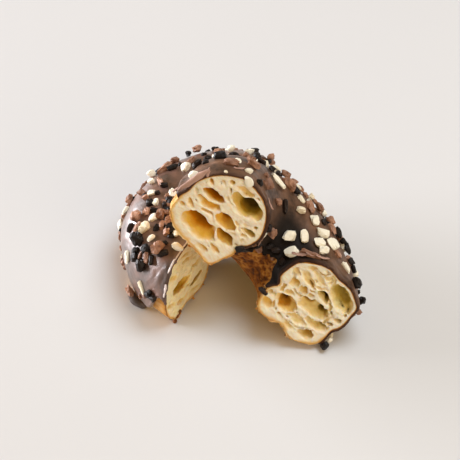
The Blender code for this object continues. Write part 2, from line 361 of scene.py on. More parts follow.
@dataclass(frozen=True)
class HalfRing:
    """One half of the doughnut: its driving sizes, its swellings, and where it lies."""

    name: str
    cut: float
    floor: float
    outer_edge: Span
    inner_edge: Span
    swellings: tuple[Swelling, ...]
    centre: Place
    turns: tuple[tuple[str, float], ...]

    def swell(self, ring: Array, section: Array) -> Array:
        """Return how far the crust stands out: the sum of the Gaussian swellings."""
        total = np.zeros(np.broadcast(ring, section).shape)
        for bump in self.swellings:
            along = wrapped(ring - bump.ring, -180.0) / bump.ring_spread
            around = wrapped(section - bump.section, -180.0) / bump.section_spread
            total = total + bump.height * np.exp(-along ** 2 - around ** 2)
        return total

    def profile(self, ring: Array, section: Array, growth: Array | float = 0.0) -> tuple[Array, Array]:
        """Return the distance from the axis and the height of points of the crust, or outside it by growth.

        A superellipse, flatter below than above, is narrowed towards its base and cut level at the floor.
        """
        out, up = np.cos(np.radians(section)), np.sin(np.radians(section))
        exponent = np.where(up < 0.0, BASE_EXPONENT, TOP_EXPONENT)
        reach = (np.abs(out) ** exponent + np.abs(up) ** exponent) ** (-1.0 / exponent)
        extra = self.swell(ring, section) + growth
        height = (HALF_HEIGHT * reach + extra) * up
        width = (HALF_WIDTH * reach + extra) * out
        width = np.where(up < 0.0, width * (1.0 - BASE_NARROWING * (height / HALF_HEIGHT) ** 2), width)
        return RING_RADIUS + width, np.maximum(height, self.floor)

    def point(self, ring: Array, section: Array, growth: Array | float = 0.0) -> Array:
        """Return points of the crust in the half's own frame."""
        radius, height = self.profile(ring, section, growth)
        turn = np.radians(ring)
        return np.stack(np.broadcast_arrays(radius * np.cos(turn), radius * np.sin(turn), height), axis=-1)

    def ring_at_cut(self, end: End, section: Array, growth: Array | float, offset: Array | float) -> Array:
        """Return the ring angle at which the crust passes a plane parallel to the cut, offset behind it.

        Args:
            end: Which end.
            section: Section angles.
            growth: How far outside the crust.
            offset: How far behind the cut.

        Returns:
            Ring angles: the arcsine of the plane's Y over the radius, repeated until it settles.
        """
        turn = np.zeros(np.broadcast(section, offset, growth).shape)
        for _ in range(6):
            radius, _height = self.profile(turn if end > 0 else 180.0 - turn, section, growth)
            turn = np.degrees(np.arcsin(np.clip((self.cut + offset) / radius, -0.98, 0.98)))
        return turn if end > 0 else 180.0 - turn

    def coat_edges(self, ring: Array) -> tuple[Array, Array]:
        """Return the section angles at which the coating ends, on the outer side and beside the hole."""
        share, turn = ring / 180.0, np.radians(ring)
        wave = EDGE_WAVE * (0.6 * np.sin(5.0 * turn + 0.4) + 0.4 * np.sin(11.0 * turn))
        outer = self.outer_edge[0] + (self.outer_edge[1] - self.outer_edge[0]) * share + wave
        inner = self.inner_edge[0] + (self.inner_edge[1] - self.inner_edge[0]) * share - wave
        return outer, inner

    def rind(self, end: End, angle: Array) -> Array:
        """Return how thick the browned rim of a cut is in each direction: noise on a circle over a least."""
        turn = np.radians(angle)
        level = np.full_like(turn, self.cut + 7.0 * end)
        spot = np.stack((5.0 * np.cos(turn), 5.0 * np.sin(turn), level), axis=-1)
        low = smoothstep(0.2, -0.5, np.sin(turn))
        rough = fractal_noise(spot, 1.4, 57)
        return RIND + (0.16 + 0.42 * low) * np.clip(rough + 0.35, 0.0, 1.2)

    def rotation(self) -> Array:
        """Return the rotation from the half's frame to the object's."""
        total = np.eye(3)
        for axis, angle in self.turns:
            c, s = math.cos(math.radians(angle)), math.sin(math.radians(angle))
            turn = {"Z": ((c, -s, 0), (s, c, 0), (0, 0, 1)), "Y": ((c, 0, s), (0, 1, 0), (-s, 0, c))}[axis]
            total = total @ np.array(turn)
        return total

    def place(self, points: Array) -> Array:
        """Return points of the half's frame in the object's frame."""
        return points @ self.rotation().T + np.array(self.centre)

    def unplace(self, points: Array) -> Array:
        """Return points of the object's frame in the half's frame."""
        return (points - np.array(self.centre)) @ self.rotation()


FLAT_HALF = HalfRing(
    name="flat_half", cut=5.2, floor=-16.8, outer_edge=(-36.0, -30.0), inner_edge=(193.0, 197.0),
    swellings=many(
        Swelling,
        (165, 52, 1.1, 30, 11), (172, 229, 2.2, 22, 11), (172, 276, -2.6, 20, 26), (172, 304, 1.2, 20, 8),
        (120, 20, 0.6, 22, 30), (80, 75, -0.7, 20, 30), (45, 30, 0.5, 18, 34), (12, 150, 0.8, 24, 18),
        (12, 232, 1.6, 26, 12),
    ),
    centre=(-3.08, -0.32, 16.8), turns=(("Z", 60.55),),
)

LEANING_HALF = HalfRing(
    name="leaning_half", cut=-1.25, floor=-18.5, outer_edge=(-29.5, -19.5), inner_edge=(181.0, 199.0),
    swellings=many(
        Swelling,
        (0, 40, 1.3, 22, 10), (0, 90, -1.9, 26, 20), (0, 152, 1.5, 24, 13), (0, 193, -3.2, 16, 9),
        (0, 230, 1.6, 24, 12), (0, 272, -2.4, 24, 16), (0, 328, 1.3, 20, 9), (0, 352, -1.2, 20, 9),
        (22, 316, 1.3, 15, 15), (128, 277, 1.4, 22, 24), (180, 74, 0.7, 26, 14), (180, 165, 0.8, 24, 12),
        (180, 193, -1.8, 20, 9), (180, 231, 2.2, 26, 13), (180, 228, 1.4, 12, 7), (180, 322, 0.7, 22, 9),
        (180, 356, -0.8, 22, 9), (70, 100, 0.7, 26, 30), (120, 60, -0.5, 20, 30),
    ),
    centre=(10.10, -30.09, 38.37), turns=(("Z", 12.78), ("Y", 49.33), ("Z", -21.99)),
)
HALVES = {half.name: half for half in (FLAT_HALF, LEANING_HALF)}


# ----- the view

@dataclass(frozen=True)
class Eye:
    """The camera: where it looks, from how far and how steeply, and its length in the photograph's pixels."""

    target: Place = (-3.25, 5.20, 17.1)
    distance: float = 650.0
    elevation: float = 46.0
    length: float = 1625.0
    width: float = 460.0
    sensor: float = 36.0

    def axes(self) -> tuple[Array, Array, Array]:
        """Return the directions to the picture's right, to its top and towards the camera."""
        angle = math.radians(self.elevation)
        right = np.array((1.0, 0.0, 0.0))
        top = np.array((0.0, math.sin(angle), math.cos(angle)))
        back = np.array((0.0, -math.cos(angle), math.sin(angle)))
        return right, top, back

    def place(self) -> Array:
        """Return where the camera stands."""
        return np.array(self.target) + self.distance * self.axes()[2]

    def ray(self, x: float, y: float) -> Array:
        """Return the unit direction in which the camera sees a pixel."""
        right, top, back = self.axes()
        middle = self.width / 2.0
        way = right * (x - middle) / self.length + top * (middle - y) / self.length - back
        return way / np.linalg.norm(way)

    def pixels(self, points: Array) -> Array:
        """Return the pixels at which the camera sees points."""
        right, top, back = self.axes()
        near = points - np.array(self.target)
        scale = self.length / (self.distance - near @ back)
        middle = self.width / 2.0
        return np.stack((middle + scale * (near @ right), middle - scale * (near @ top)), axis=-1)


EYE = Eye()


# ----- finishes

class Graph:
    """A short way to add and join the nodes of one tree."""

    def __init__(self, tree: bpy.types.NodeTree) -> None:
        """Keep the tree."""
        self.tree = tree

    def give(self, socket: Socket, value: Value) -> None:
        """Join an input to another node's output, or give it a value; a colour gets its alpha."""
        if isinstance(value, Socket):
            self.tree.links.new(value, socket)
        else:
            socket.default_value = (*value, 1.0) if socket.type == "RGBA" else value

    def add(self, kind: str, settings: dict | None = None, **inputs: Value) -> bpy.types.Node:
        """Add a node, set it up, and give its inputs values or join them to other nodes' outputs.

        Args:
            kind: The node's type.
            settings: Properties of the node.
            **inputs: Values or outputs by socket name, with _ for a space, or by number as i0, i1 and so on.

        Returns:
            The node.
        """
        node = self.tree.nodes.new(kind)
        for key, value in (settings or {}).items():
            setattr(node, key, value)
        for key, value in inputs.items():
            numbered = key[0] == "i" and key[1:].isdigit()
            self.give(node.inputs[int(key[1:]) if numbered else key.replace("_", " ")], value)
        return node

    def ramp(self, value: Socket, stops: tuple) -> Socket:
        """Return colours blended along a value from 0 to 1; each stop is a place and a colour."""
        node = self.add("ShaderNodeValToRGB", i0=value)
        marks = node.color_ramp.elements
        while len(marks) < len(stops):
            marks.new(0.5)
        for mark, (place, colour) in zip(marks, stops):
            mark.position = place
            mark.color = (*colour, 1.0)
        return node.outputs["Color"]

    def mix(self, share: Value, first: Value, second: Value, blend: str = "MIX") -> Socket:
        """Return two colours mixed by a share."""
        settings = {"data_type": "RGBA", "blend_type": blend}
        return self.add("ShaderNodeMix", settings, i0=share, i6=first, i7=second).outputs[2]

    def math(self, operation: str, first: Value, second: Value = 0.5) -> Socket:
        """Return the result of one operation on one or two values."""
        return self.add("ShaderNodeMath", {"operation": operation}, i0=first, i1=second).outputs[0]

    def span(self, value: Socket, low: Value, high: Value, to_low: float = 0.0,
             to_high: float = 1.0) -> Socket:
        """Return a value moved from one range to another and kept inside it."""
        return self.add("ShaderNodeMapRange", i0=value, i1=low, i2=high, i3=to_low, i4=to_high).outputs[0]

    def value_of(self, name: str, socket: str = "Fac") -> Socket:
        """Return a named value of the mesh."""
        return self.add("ShaderNodeAttribute", {"attribute_name": name}).outputs[socket]


def new_group(name: str, inputs: dict[str, float], output: str) -> tuple[Graph, dict[str, Socket], Socket]:
    """Start a shader node group.

    Args:
        name: Its name.
        inputs: Its inputs with their defaults.
        output: Its one output.

    Returns:
        A graph to fill it, its inputs by name, and the socket that its result goes to.
    """
    tree = bpy.data.node_groups.new(name, "ShaderNodeTree")
    for label, default in inputs.items():
        socket = tree.interface.new_socket(label, in_out="INPUT", socket_type="NodeSocketFloat")
        socket.default_value = default
    tree.interface.new_socket(output, in_out="OUTPUT", socket_type="NodeSocketFloat")
    graph = Graph(tree)
    entry, leave = graph.add("NodeGroupInput"), graph.add("NodeGroupOutput")
    return graph, {label: entry.outputs[label] for label in inputs}, leave.inputs[output]


class Effects:
    """The shader effects that several finishes share."""

    def __init__(self) -> None:
        """Build the groups."""
        self.mottle = self._mottle()
        self.grain = self._grain()

    @staticmethod
    def _mottle() -> bpy.types.NodeTree:
        """Return a group that gives soft patches as a mask: noise in object space, stretched to 0 and 1."""
        graph, given, result = new_group("soft_patches", {"Scale": 200.0, "Low": 0.4, "High": 0.6}, "Mask")
        place = graph.add("ShaderNodeTexCoord").outputs["Object"]
        noise = graph.add("ShaderNodeTexNoise", Vector=place, Scale=given["Scale"], Detail=3.0)
        graph.give(result, graph.span(noise.outputs["Fac"], given["Low"], given["High"]))
        return graph.tree

    @staticmethod
    def _grain() -> bpy.types.NodeTree:
        """Return a group that gives a height: a coarse noise and a fine one, mixed by Share."""
        defaults = {"Coarse": 400.0, "Fine": 2000.0, "Share": 0.4}
        graph, given, result = new_group("two_grains", defaults, "Height")
        place = graph.add("ShaderNodeTexCoord").outputs["Object"]
        coarse = graph.add("ShaderNodeTexNoise", Vector=place, Scale=given["Coarse"], Detail=3.0)
        fine = graph.add("ShaderNodeTexNoise", Vector=place, Scale=given["Fine"], Detail=2.0)
        heights = {"i2": coarse.outputs["Fac"], "i3": fine.outputs["Fac"]}
        graph.give(result, graph.add("ShaderNodeMix", i0=given["Share"], **heights).outputs[0])
        return graph.tree

    def patches(self, graph: Graph, scale: float, low: float, high: float) -> Socket:
        """Place the patches group in a material and return its mask."""
        node = graph.add("ShaderNodeGroup", {"node_tree": self.mottle}, Scale=scale, Low=low, High=high)
        return node.outputs["Mask"]

    def height(self, graph: Graph, coarse: float, fine: float, share: float) -> Socket:
        """Place the grains group in a material and return its height."""
        node = graph.add("ShaderNodeGroup", {"node_tree": self.grain}, Coarse=coarse, Fine=fine, Share=share)
        return node.outputs["Height"]


def new_material(name: str) -> tuple[Material, Graph, bpy.types.Node]:
    """Return a material with nodes, a graph to fill it and its Principled shader."""
    material = bpy.data.materials.new(name)
    material.use_nodes = True
    return material, Graph(material.node_tree), material.node_tree.nodes["Principled BSDF"]


def connect(graph: Graph, shader: bpy.types.Node, height: Socket, strength: float, distance: float,
            values: dict[str, Value]) -> None:
    """Join a bump height and other values to a Principled shader.

    Args:
        graph: The material's graph.
        shader: The shader.
        height: The bump's height.
        strength: The bump's strength.
        distance: The bump's distance, in metres.
        values: The other inputs, by name.
    """
    bump = graph.add("ShaderNodeBump", Height=height, Strength=strength, Distance=distance)
    for name, value in {"Normal": bump.outputs["Normal"], **values}.items():
        graph.give(shader.inputs[name], value)


@dataclass(frozen=True)
class ChocolateFinish:
    """Set chocolate: a dark body with milkier patches, satin to glossy, darker and rougher where its shade
    value is high; on the coatings that value is painted shade.
    """

    name: str
    dark: Colour
    milky: Colour
    roughness: Span
    broken: Colour = (0.060, 0.024, 0.012)
    # deepest is the colour that the shade value mixes towards: on the coatings, the colour of painted shade
    deepest: Colour = (0.010, 0.006, 0.004)
    coat: float = 0.22
    specular: float = 0.5
    coat_index: float = 1.5
    coat_roughness: float = 0.38
    sheen: Colour = (1.0, 1.0, 1.0)

    def build(self, effects: Effects) -> Material:
        """Return the material."""
        material, graph, shader = new_material(self.name)
        tone = graph.mix(effects.patches(graph, 130.0, 0.35, 0.68), self.dark, self.milky)
        fine = effects.patches(graph, 900.0, 0.45, 0.75)
        tone = graph.mix(graph.math("MULTIPLY", fine, 0.35), tone, self.milky)
        edge = graph.value_of("broken")
        # painted shade: the shade value mixes the chocolate towards its deepest colour
        tone = graph.mix(graph.value_of("shade"), tone, self.deepest)
        tone = graph.mix(graph.math("MULTIPLY", edge, 0.85), tone, self.broken)
        gloss = graph.span(effects.patches(graph, 210.0, 0.3, 0.7), 0.0, 1.0, *self.roughness)
        gloss = graph.math("ADD", gloss, graph.math("MULTIPLY", edge, 0.45))
        gloss = graph.math("ADD", gloss, graph.math("MULTIPLY", graph.value_of("shade"), 0.45))
        cover = graph.math("MULTIPLY", graph.math("SUBTRACT", 1.0, edge), self.coat)
        connect(graph, shader, effects.height(graph, 420.0, 1500.0, 0.3), 0.35, 0.0006, {
            "Base Color": tone, "Roughness": gloss, "Specular IOR Level": self.specular,
            "Specular Tint": self.sheen, "Coat Weight": cover, "Coat Roughness": self.coat_roughness,
            "Coat IOR": self.coat_index})
        return material


@dataclass(frozen=True)
class CrustFinish:
    """Fried laminated crust: golden brown, darker along its flaky ridges, pale where it is newly cut."""

    name: str
    pale: Colour = (0.94, 0.68, 0.34)
    golden: Colour = (0.72, 0.33, 0.06)
    brown: Colour = (0.30, 0.095, 0.010)
    dark: Colour = (0.08, 0.022, 0.003)
    specular: float = 0.2

    def build(self, effects: Effects) -> Material:
        """Return the material."""
        material, graph, shader = new_material(self.name)
        baked = graph.value_of("baked")
        patchy = effects.patches(graph, 170.0, 0.3, 0.7)
        amount = graph.math("ADD", graph.math("MULTIPLY", baked, 0.72), graph.math("MULTIPLY", patchy, 0.24))
        streaks = graph.math("SUBTRACT", graph.math("MULTIPLY", graph.value_of("flake"), 0.42), 0.12)
        amount = graph.math("SUBTRACT", graph.math("ADD", amount, 0.04), streaks)
        stops = ((0.05, self.pale), (0.42, self.golden), (0.74, self.brown), (1.0, self.dark))
        colour = graph.ramp(amount, stops)
        connect(graph, shader, effects.height(graph, 700.0, 2600.0, 0.45), 0.8, 0.0010, {
            "Base Color": colour, "Roughness": 0.5, "Specular IOR Level": self.specular,
            "Subsurface Weight": 0.08, "Subsurface Radius": (1.0, 0.45, 0.15), "Subsurface Scale": 0.0015})
        return material


@dataclass(frozen=True)
class CrumbFinish:
    """Open laminated crumb: cream at the cut, honey to orange or olive down in the cells, darkening to umber
    or moss at their bottoms as painted shade.
    """

    name: str
    cream: Colour = (0.94, 0.83, 0.62)
    butter: Colour = (0.91, 0.70, 0.35)
    honey: Colour = (0.90, 0.55, 0.08)
    amber: Colour = (0.74, 0.30, 0.004)
    # umber and moss are painted shade at the bottoms of the cells
    umber: Colour = (0.20, 0.075, 0.002)
    straw: Colour = (0.80, 0.62, 0.20)
    olive: Colour = (0.42, 0.29, 0.030)
    moss: Colour = (0.14, 0.095, 0.012)
    toasted: Colour = (0.92, 0.52, 0.11)
    pale: Colour = (0.97, 0.91, 0.76)
    specular: float = 0.12

    def build(self, effects: Effects) -> Material:
        """Return the material."""
        material, graph, shader = new_material(self.name)
        depth = graph.value_of("depth")
        patchy = effects.patches(graph, 260.0, 0.3, 0.7)
        depth = graph.math("ADD", depth, graph.math("MULTIPLY", graph.math("SUBTRACT", patchy, 0.5), 0.06))
        # The ramps darken with depth into the cells: painted shade in the recesses, over the crumb's own
        # yellower cell walls
        top = ((0.03, self.cream), (0.12, self.butter))
        warm = graph.ramp(depth, (*top, (0.25, self.honey), (0.44, self.amber), (0.80, self.umber)))
        cool = graph.ramp(depth, (*top, (0.26, self.straw), (0.46, self.olive), (0.78, self.moss)))
        colour = graph.mix(graph.value_of("tint"), warm, cool)
        place = graph.value_of("layers", "Vector")
        streaks = graph.add("ShaderNodeTexNoise", Vector=place, Scale=1.0, Detail=3.0).outputs["Fac"]
        shallow = graph.span(depth, 0.03, 0.16, 1.0, 0.0)
        colour = graph.mix(graph.span(streaks, 0.48, 0.75, 0.0, 0.30), colour, self.honey, "MULTIPLY")
        pale = graph.math("MULTIPLY", graph.span(streaks, 0.30, 0.58, 0.8, 0.0), shallow)
        colour = graph.mix(pale, colour, self.pale)
        colour = graph.mix(graph.value_of("toast"), colour, self.toasted)
        layered = graph.math("MULTIPLY", streaks, 0.6)
        height = graph.math("ADD", layered, effects.height(graph, 900.0, 3000.0, 0.4))
        connect(graph, shader, height, 0.5, 0.0007, {
            "Base Color": colour, "Roughness": 0.6, "Specular IOR Level": self.specular,
            "Subsurface Weight": 0.25, "Subsurface Radius": (1.0, 0.62, 0.22), "Subsurface Scale": 0.0016})
        return material


@dataclass(frozen=True)
class BitFinish:
    """Bits stuck to the coating: a body colour, a second one on some sides, and a gloss."""

    name: str
    body: Colour
    second: Colour
    share: Span
    roughness: float
    bump: float
    specular: float = 0.5

    def build(self, effects: Effects) -> Material:
        """Return the material."""
        material, graph, shader = new_material(self.name)
        mask = effects.patches(graph, 330.0, *self.share)
        colour = graph.mix(mask, self.body, self.second)
        own = graph.math("MULTIPLY", graph.value_of("shade"), 0.5)
        connect(graph, shader, effects.height(graph, 900.0, 3200.0, 0.4), self.bump, 0.0005, {
            "Base Color": graph.mix(own, colour, self.second), "Roughness": self.roughness,
            "Specular IOR Level": self.specular})
        return material


# ----- crust

@dataclass
class Crust:
    """The skin of one half: its outside, its cut rim, and a pocket behind each cut that the crumb fills."""

    half: HalfRing
    rows: int = 150
    columns: int = 220
    pocket: float = CRUMB_DEPTH + 0.6
    swell_noise: float = 0.30
    flake_height: float = 0.55

    def coated(self, ring: Array, section: Array) -> Array:
        """Return 1 where the coating covers the crust and 0 where it is bare."""
        outer, inner = self.half.coat_edges(ring)
        around = wrapped(section, -90.0)
        return smoothstep(-1.0, 3.0, around - outer) * smoothstep(-1.0, 3.0, inner - around)

    def flakes(self, points: Array, ring: Array, section: Array) -> Array:
        """Return the flaky ridges, 0 to 1: one minus the size of a noise drawn out along the ring."""
        drawn = np.stack(np.broadcast_arrays(
            np.radians(ring) * NOISE_RING / 5.5 + 0.25 * points[..., 2] / 1.5,
            np.radians(section) * NOISE_SECTION / 1.1, points[..., 2] * 0.04), axis=-1)
        ridge = np.clip(1.0 - np.abs(fractal_noise(drawn, 1.0, 31)) * 2.2, 0.0, 1.0)
        around = wrapped(section, -90.0)
        hole = band(around, (150.0, 175.0), (225.0, 250.0))
        patches = np.clip(0.5 + 0.9 * fractal_noise(points, 2.6, 33), 0.0, 1.0)
        return ridge * hole + (0.35 * ridge + 0.5 * patches) * (1.0 - hole)

    def growth(self, ring: Array, section: Array) -> tuple[Array, Array]:
        """Return how far the crust stands off its smooth form, and the flaky ridges."""
        smooth = self.half.point(ring, section)
        cover = self.coated(ring, section)
        flakes = self.flakes(smooth, ring, section)
        bare = self.swell_noise * fractal_noise(smooth, 4.0, 7) + self.flake_height * (flakes ** 2 - 0.3)
        bare = bare + 0.10 * value_noise(smooth, 0.9, 12)
        hidden = 0.08 * value_noise(smooth, 3.0, 8)
        return bare * (1.0 - cover) + hidden * cover, flakes

    def build(self, material: Material) -> Object:
        """Return the crust as one closed piece.

        Rows run from a pole in one pocket out to the rim, along the ring to the other rim, and in to the
        other pole; every row is a closed section.
        """
        half = self.half
        section = np.linspace(0.0, 360.0, self.columns, endpoint=False)
        share = np.linspace(0.0, 1.0, self.rows)
        share = share - 0.12 * np.sin(2.0 * np.pi * share) / (2.0 * np.pi)
        lip = 0.18 * value_noise(half.point(np.full_like(section, 3.0), section), 1.2, 44)
        low = half.ring_at_cut(End.RIGHT, section, 0.0, lip)
        high = half.ring_at_cut(End.LEFT, section, 0.0, lip[::-1])
        ring = low + (high - low) * share[:, None]
        growth, flakes = self.growth(ring, section[None, :])
        outside = half.point(ring, section[None, :], growth)
        baked = self.baked(ring, section[None, :], outside)
        rows, tones, ridges = [outside], [baked], [flakes]
        for end in End:
            inner = []
            rind = half.rind(end, section)
            for more, offset in ((0.0, 0.05), (0.0, 1.2), (0.0, 3.5), (0.2, 6.0), (0.6, self.pocket)):
                angle = half.ring_at_cut(end, section, -rind - more, offset)
                inner.append(half.point(angle, section, -rind - more))
            inner = np.stack(inner)
            pale = np.zeros(inner.shape[:2])
            place = 0 if end is End.RIGHT else 1
            for parts, part in ((rows, inner if place else inner[::-1]), (tones, pale), (ridges, pale)):
                parts.insert(place * len(parts), part)
        grid = np.concatenate(rows)
        deep = half.cut + self.pocket
        across = math.sqrt(RING_RADIUS ** 2 - deep ** 2)
        poles = np.array(((across, deep, 0.0), (-across, deep, 0.0)))
        count = len(grid)
        faces = [
            sheet_faces(count, self.columns),
            fan_faces(0, self.columns, count * self.columns, False),
            fan_faces((count - 1) * self.columns, self.columns, count * self.columns + 1, True),
        ]
        points = np.concatenate([grid.reshape(-1, 3), poles])
        values = {name: np.append(np.concatenate(parts), (0.0, 0.0))
                  for name, parts in (("baked", tones), ("flake", ridges))}
        points = half.place(points)
        points[:, 2] = np.maximum(points[:, 2], CLEAR)
        return write_piece(f"{half.name}_crust", points, faces, material, values)

    def baked(self, ring: Array, section: Array, points: Array) -> Array:
        """Return how brown the crust is: most in the hole and high on the sides, least in a band low down."""
        around = wrapped(section, -90.0)
        hole = band(around, (150.0, 178.0), (232.0, 262.0))
        side = 0.35 * smoothstep(-62.0, -30.0, around)
        cover = self.coated(ring, section)
        near_cut = np.exp(-np.clip(points[..., 1] - self.half.cut, 0.0, 9.0) / 1.2)
        tone = np.clip(0.14 + 0.80 * hole + side + 0.12 * fractal_noise(points, 5.0, 3), 0.0, 1.0)
        return tone * (1.0 - 0.5 * near_cut) * (1.0 - cover) + cover * (0.45 + 0.45 * near_cut)


# ----- crumb

@dataclass(frozen=True)
class Cell:
    """An air cell that the cut opens, or one lobe of it, in millimetres from the middle of the section.

    outward and up place its middle; length and width are half its extents, and turn brings its length from
    outwards towards up, in degrees. depth is how far it goes in; lean moves its bottom upwards as it goes in;
    sink is how far its middle lies behind the cut, for its depth. Lobes with the same part make one cell.
    """

    outward: float
    up: float
    length: float
    width: float
    turn: float
    depth: float = 4.5
    part: int = 0
    lean: float = 0.35
    sink: float = 0.2


@dataclass(frozen=True)
class Weave:
    """How the crumb is between a face's named cells, in millimetres.

    small and deep are how many cells are strewn at the cut and behind it; small_size and small_depth are the
    small ones' half heights and half depths for those; wall is the dough between cells, rounding how softly
    it meets the cut. stretch draws cells out, closeness is how near they may come, bend and ragged shift
    their outlines, fibre is how far layers stand out, arcs the share of cells along the outline.
    """

    seed: int
    small: int
    small_size: Span
    deep: int
    wall: float
    rounding: float = 0.8
    stretch: float = 2.2
    closeness: float = 0.85
    bend: float = 0.55
    fibre: float = 0.16
    arcs: float = 0.0
    ragged: float = 0.20
    small_depth: Span = (0.9, 1.7)


@dataclass
class CrumbFace:
    """The crumb behind one cut: a slab of dough, hollowed out by rounded cells with thin walls.

    The solid is a field on a lattice. Each cell gives the distance to an ellipsoid in bent space; a place is
    hollow if it is inside the nearest cell and farther from the next cell than the wall is thick.
    """

    half: HalfRing
    end: End
    name: str
    cells: tuple[Cell, ...]
    weave: Weave
    tint: Triple = (0.0, 0.0, 0.5)
    voxel: float = VOXEL
    reach: float = 19.6
    roof: float = 20.4

    def lattice(self) -> tuple[Array, Array]:
        """Return the lattice's first corner and its places in the half's frame."""
        low_x = self.end * RING_RADIUS - self.reach
        size = (2.0 * self.reach, CRUMB_DEPTH + 1.6, 2.0 * self.roof)
        origin = np.array((low_x, self.half.cut - 0.9, -self.roof))
        return origin, lattice_places(origin, size, self.voxel, 1)

    def outline_distance(self, points: Array) -> Array:
        """Return how far inside the crust points lie, read from a table of the outline's polar radius."""
        turns = np.linspace(-20.0, 95.0, 24)
        polar = np.linspace(-180.0, 180.0, 361)
        section = np.linspace(0.0, 360.0, 721)
        table = []
        for turn in turns:
            radius, height = self.half.profile(turn if self.end > 0 else 180.0 - turn, section)
            width = radius - RING_RADIUS
            angle = np.degrees(np.arctan2(height, width))
            order = np.argsort(angle)
            table.append(np.interp(polar, angle[order], np.hypot(width, height)[order], period=360.0))
        table = np.array(table)
        x, y, z = points[..., 0], points[..., 1], points[..., 2]
        out = np.hypot(x, y) - RING_RADIUS
        turn = np.degrees(np.arctan2(y, self.end * x))
        row = np.clip((turn - turns[0]) / (turns[1] - turns[0]), 0.0, len(turns) - 1.001)
        column = np.clip(np.degrees(np.arctan2(z, out)) + 180.0, 0.0, 359.999)
        r, c = row.astype(int), column.astype(int)
        dr, dc = row - r, column - c
        rim = (table[r, c] * (1 - dr) * (1 - dc) + table[r + 1, c] * dr * (1 - dc)
               + table[r, c + 1] * (1 - dr) * dc + table[r + 1, c + 1] * dr * dc)
        return rim - np.hypot(out, z)

    def face_place(self, points: Array) -> Array:
        """Return outward, depth and up of points: how they lie in the face."""
        across = self.end * points[..., 0] - RING_RADIUS
        return np.stack((across, points[..., 1] - self.half.cut, points[..., 2]), axis=-1)

    def named_groups(self) -> list[list[tuple]]:
        """Return the face's cells, each as a list of its lobes."""
        groups: dict[object, list[tuple]] = {}
        for number, cell in enumerate(self.cells):
            middle = np.array((cell.outward, cell.sink * cell.depth, cell.up))
            sizes = np.array((cell.length, cell.depth, cell.width))
            group = groups.setdefault(cell.part or f"single {number}", [])
            group.append((middle, sizes, cell.turn, cell.lean))
        return list(groups.values())

    def thrown(self, count: int, sizes: Span, depths: Span,
               ratios: Span, rng: np.random.Generator, found: list[tuple]) -> list[tuple]:
        """Return cells thrown at random where they stay clear of the ones found before.

        Args:
            count: How many to look for.
            sizes: Least and largest half length across the layers.
            depths: Least and largest depth of their middles.
            ratios: Least and largest half depth for their size.
            rng: Source of the throws.
            found: Cells to stay clear of; the new ones are added.

        Returns:
            The new cells.
        """
        new = []
        for _ in range(count * 30):
            if len(new) >= count:
                break
            middle = np.array((rng.uniform(-16.0, 17.0), rng.uniform(*depths), rng.uniform(-16.5, 17.0)))
            size = sizes[0] + (sizes[1] - sizes[0]) * rng.random() ** 1.5
            if math.hypot(middle[0], middle[2]) > 14.8 - 1.4 * size:
                continue
            near = self.weave.closeness
            gaps = [np.linalg.norm((middle - other) / (extent * near + size * near))
                    for other, extent, *_ in found]
            if gaps and min(gaps) < 1.0:
                continue
            stretch = rng.uniform(0.7, 1.2) * self.weave.stretch
            extent = np.array((size * stretch, size * rng.uniform(*ratios), size * rng.uniform(0.7, 1.0)))
            around = (math.degrees(math.atan2(middle[0], -middle[2])) + 90.0) % 180.0 - 90.0
            turn = rng.normal(6.0, 14.0)
            if rng.random() < self.weave.arcs and math.hypot(middle[0], middle[2]) > 7.0:
                turn = around + rng.normal(0.0, 12.0)
            cell = (middle, extent, turn, 0.25)
            new.append(cell)
            found.append(cell)
        return new

    def lobe(self, bent: Array, axes: list[Array], cell: tuple) -> tuple[tuple, Array]:
        """Return the part of the lattice near one lobe, and there the distance to its ellipsoid.

        Args:
            bent: The lattice's places, bent.
            axes: The lattice's edges, not bent.
            cell: Middle, half sizes, turn and lean.

        Returns:
            Slices of the lattice, and k(k - 1)/|grad k| for the scaled length k.
        """
        middle, sizes, turn, lean = cell
        reach = sizes.max() + 2.4
        window = []
        for axis, place in zip(axes, middle):
            sign = 1.0 if axis[-1] > axis[0] else -1.0
            ends = sorted((sign * (place - reach), sign * (place + reach)))
            window.append(slice(*np.searchsorted(sign * axis, ends)))
        window = tuple(window)
        away = bent[window] - middle
        c, s = math.cos(math.radians(turn)), math.sin(math.radians(turn))
        up = away[..., 2] - lean * away[..., 1]
        local = np.stack((c * away[..., 0] + s * up, away[..., 1], c * up - s * away[..., 0]), axis=-1)
        scaled = local / sizes
        one = np.sqrt((scaled ** 2).sum(-1)) + 1e-6
        two = np.sqrt(((scaled / sizes) ** 2).sum(-1)) + 1e-6
        return window, one * (one - 1.0) / two

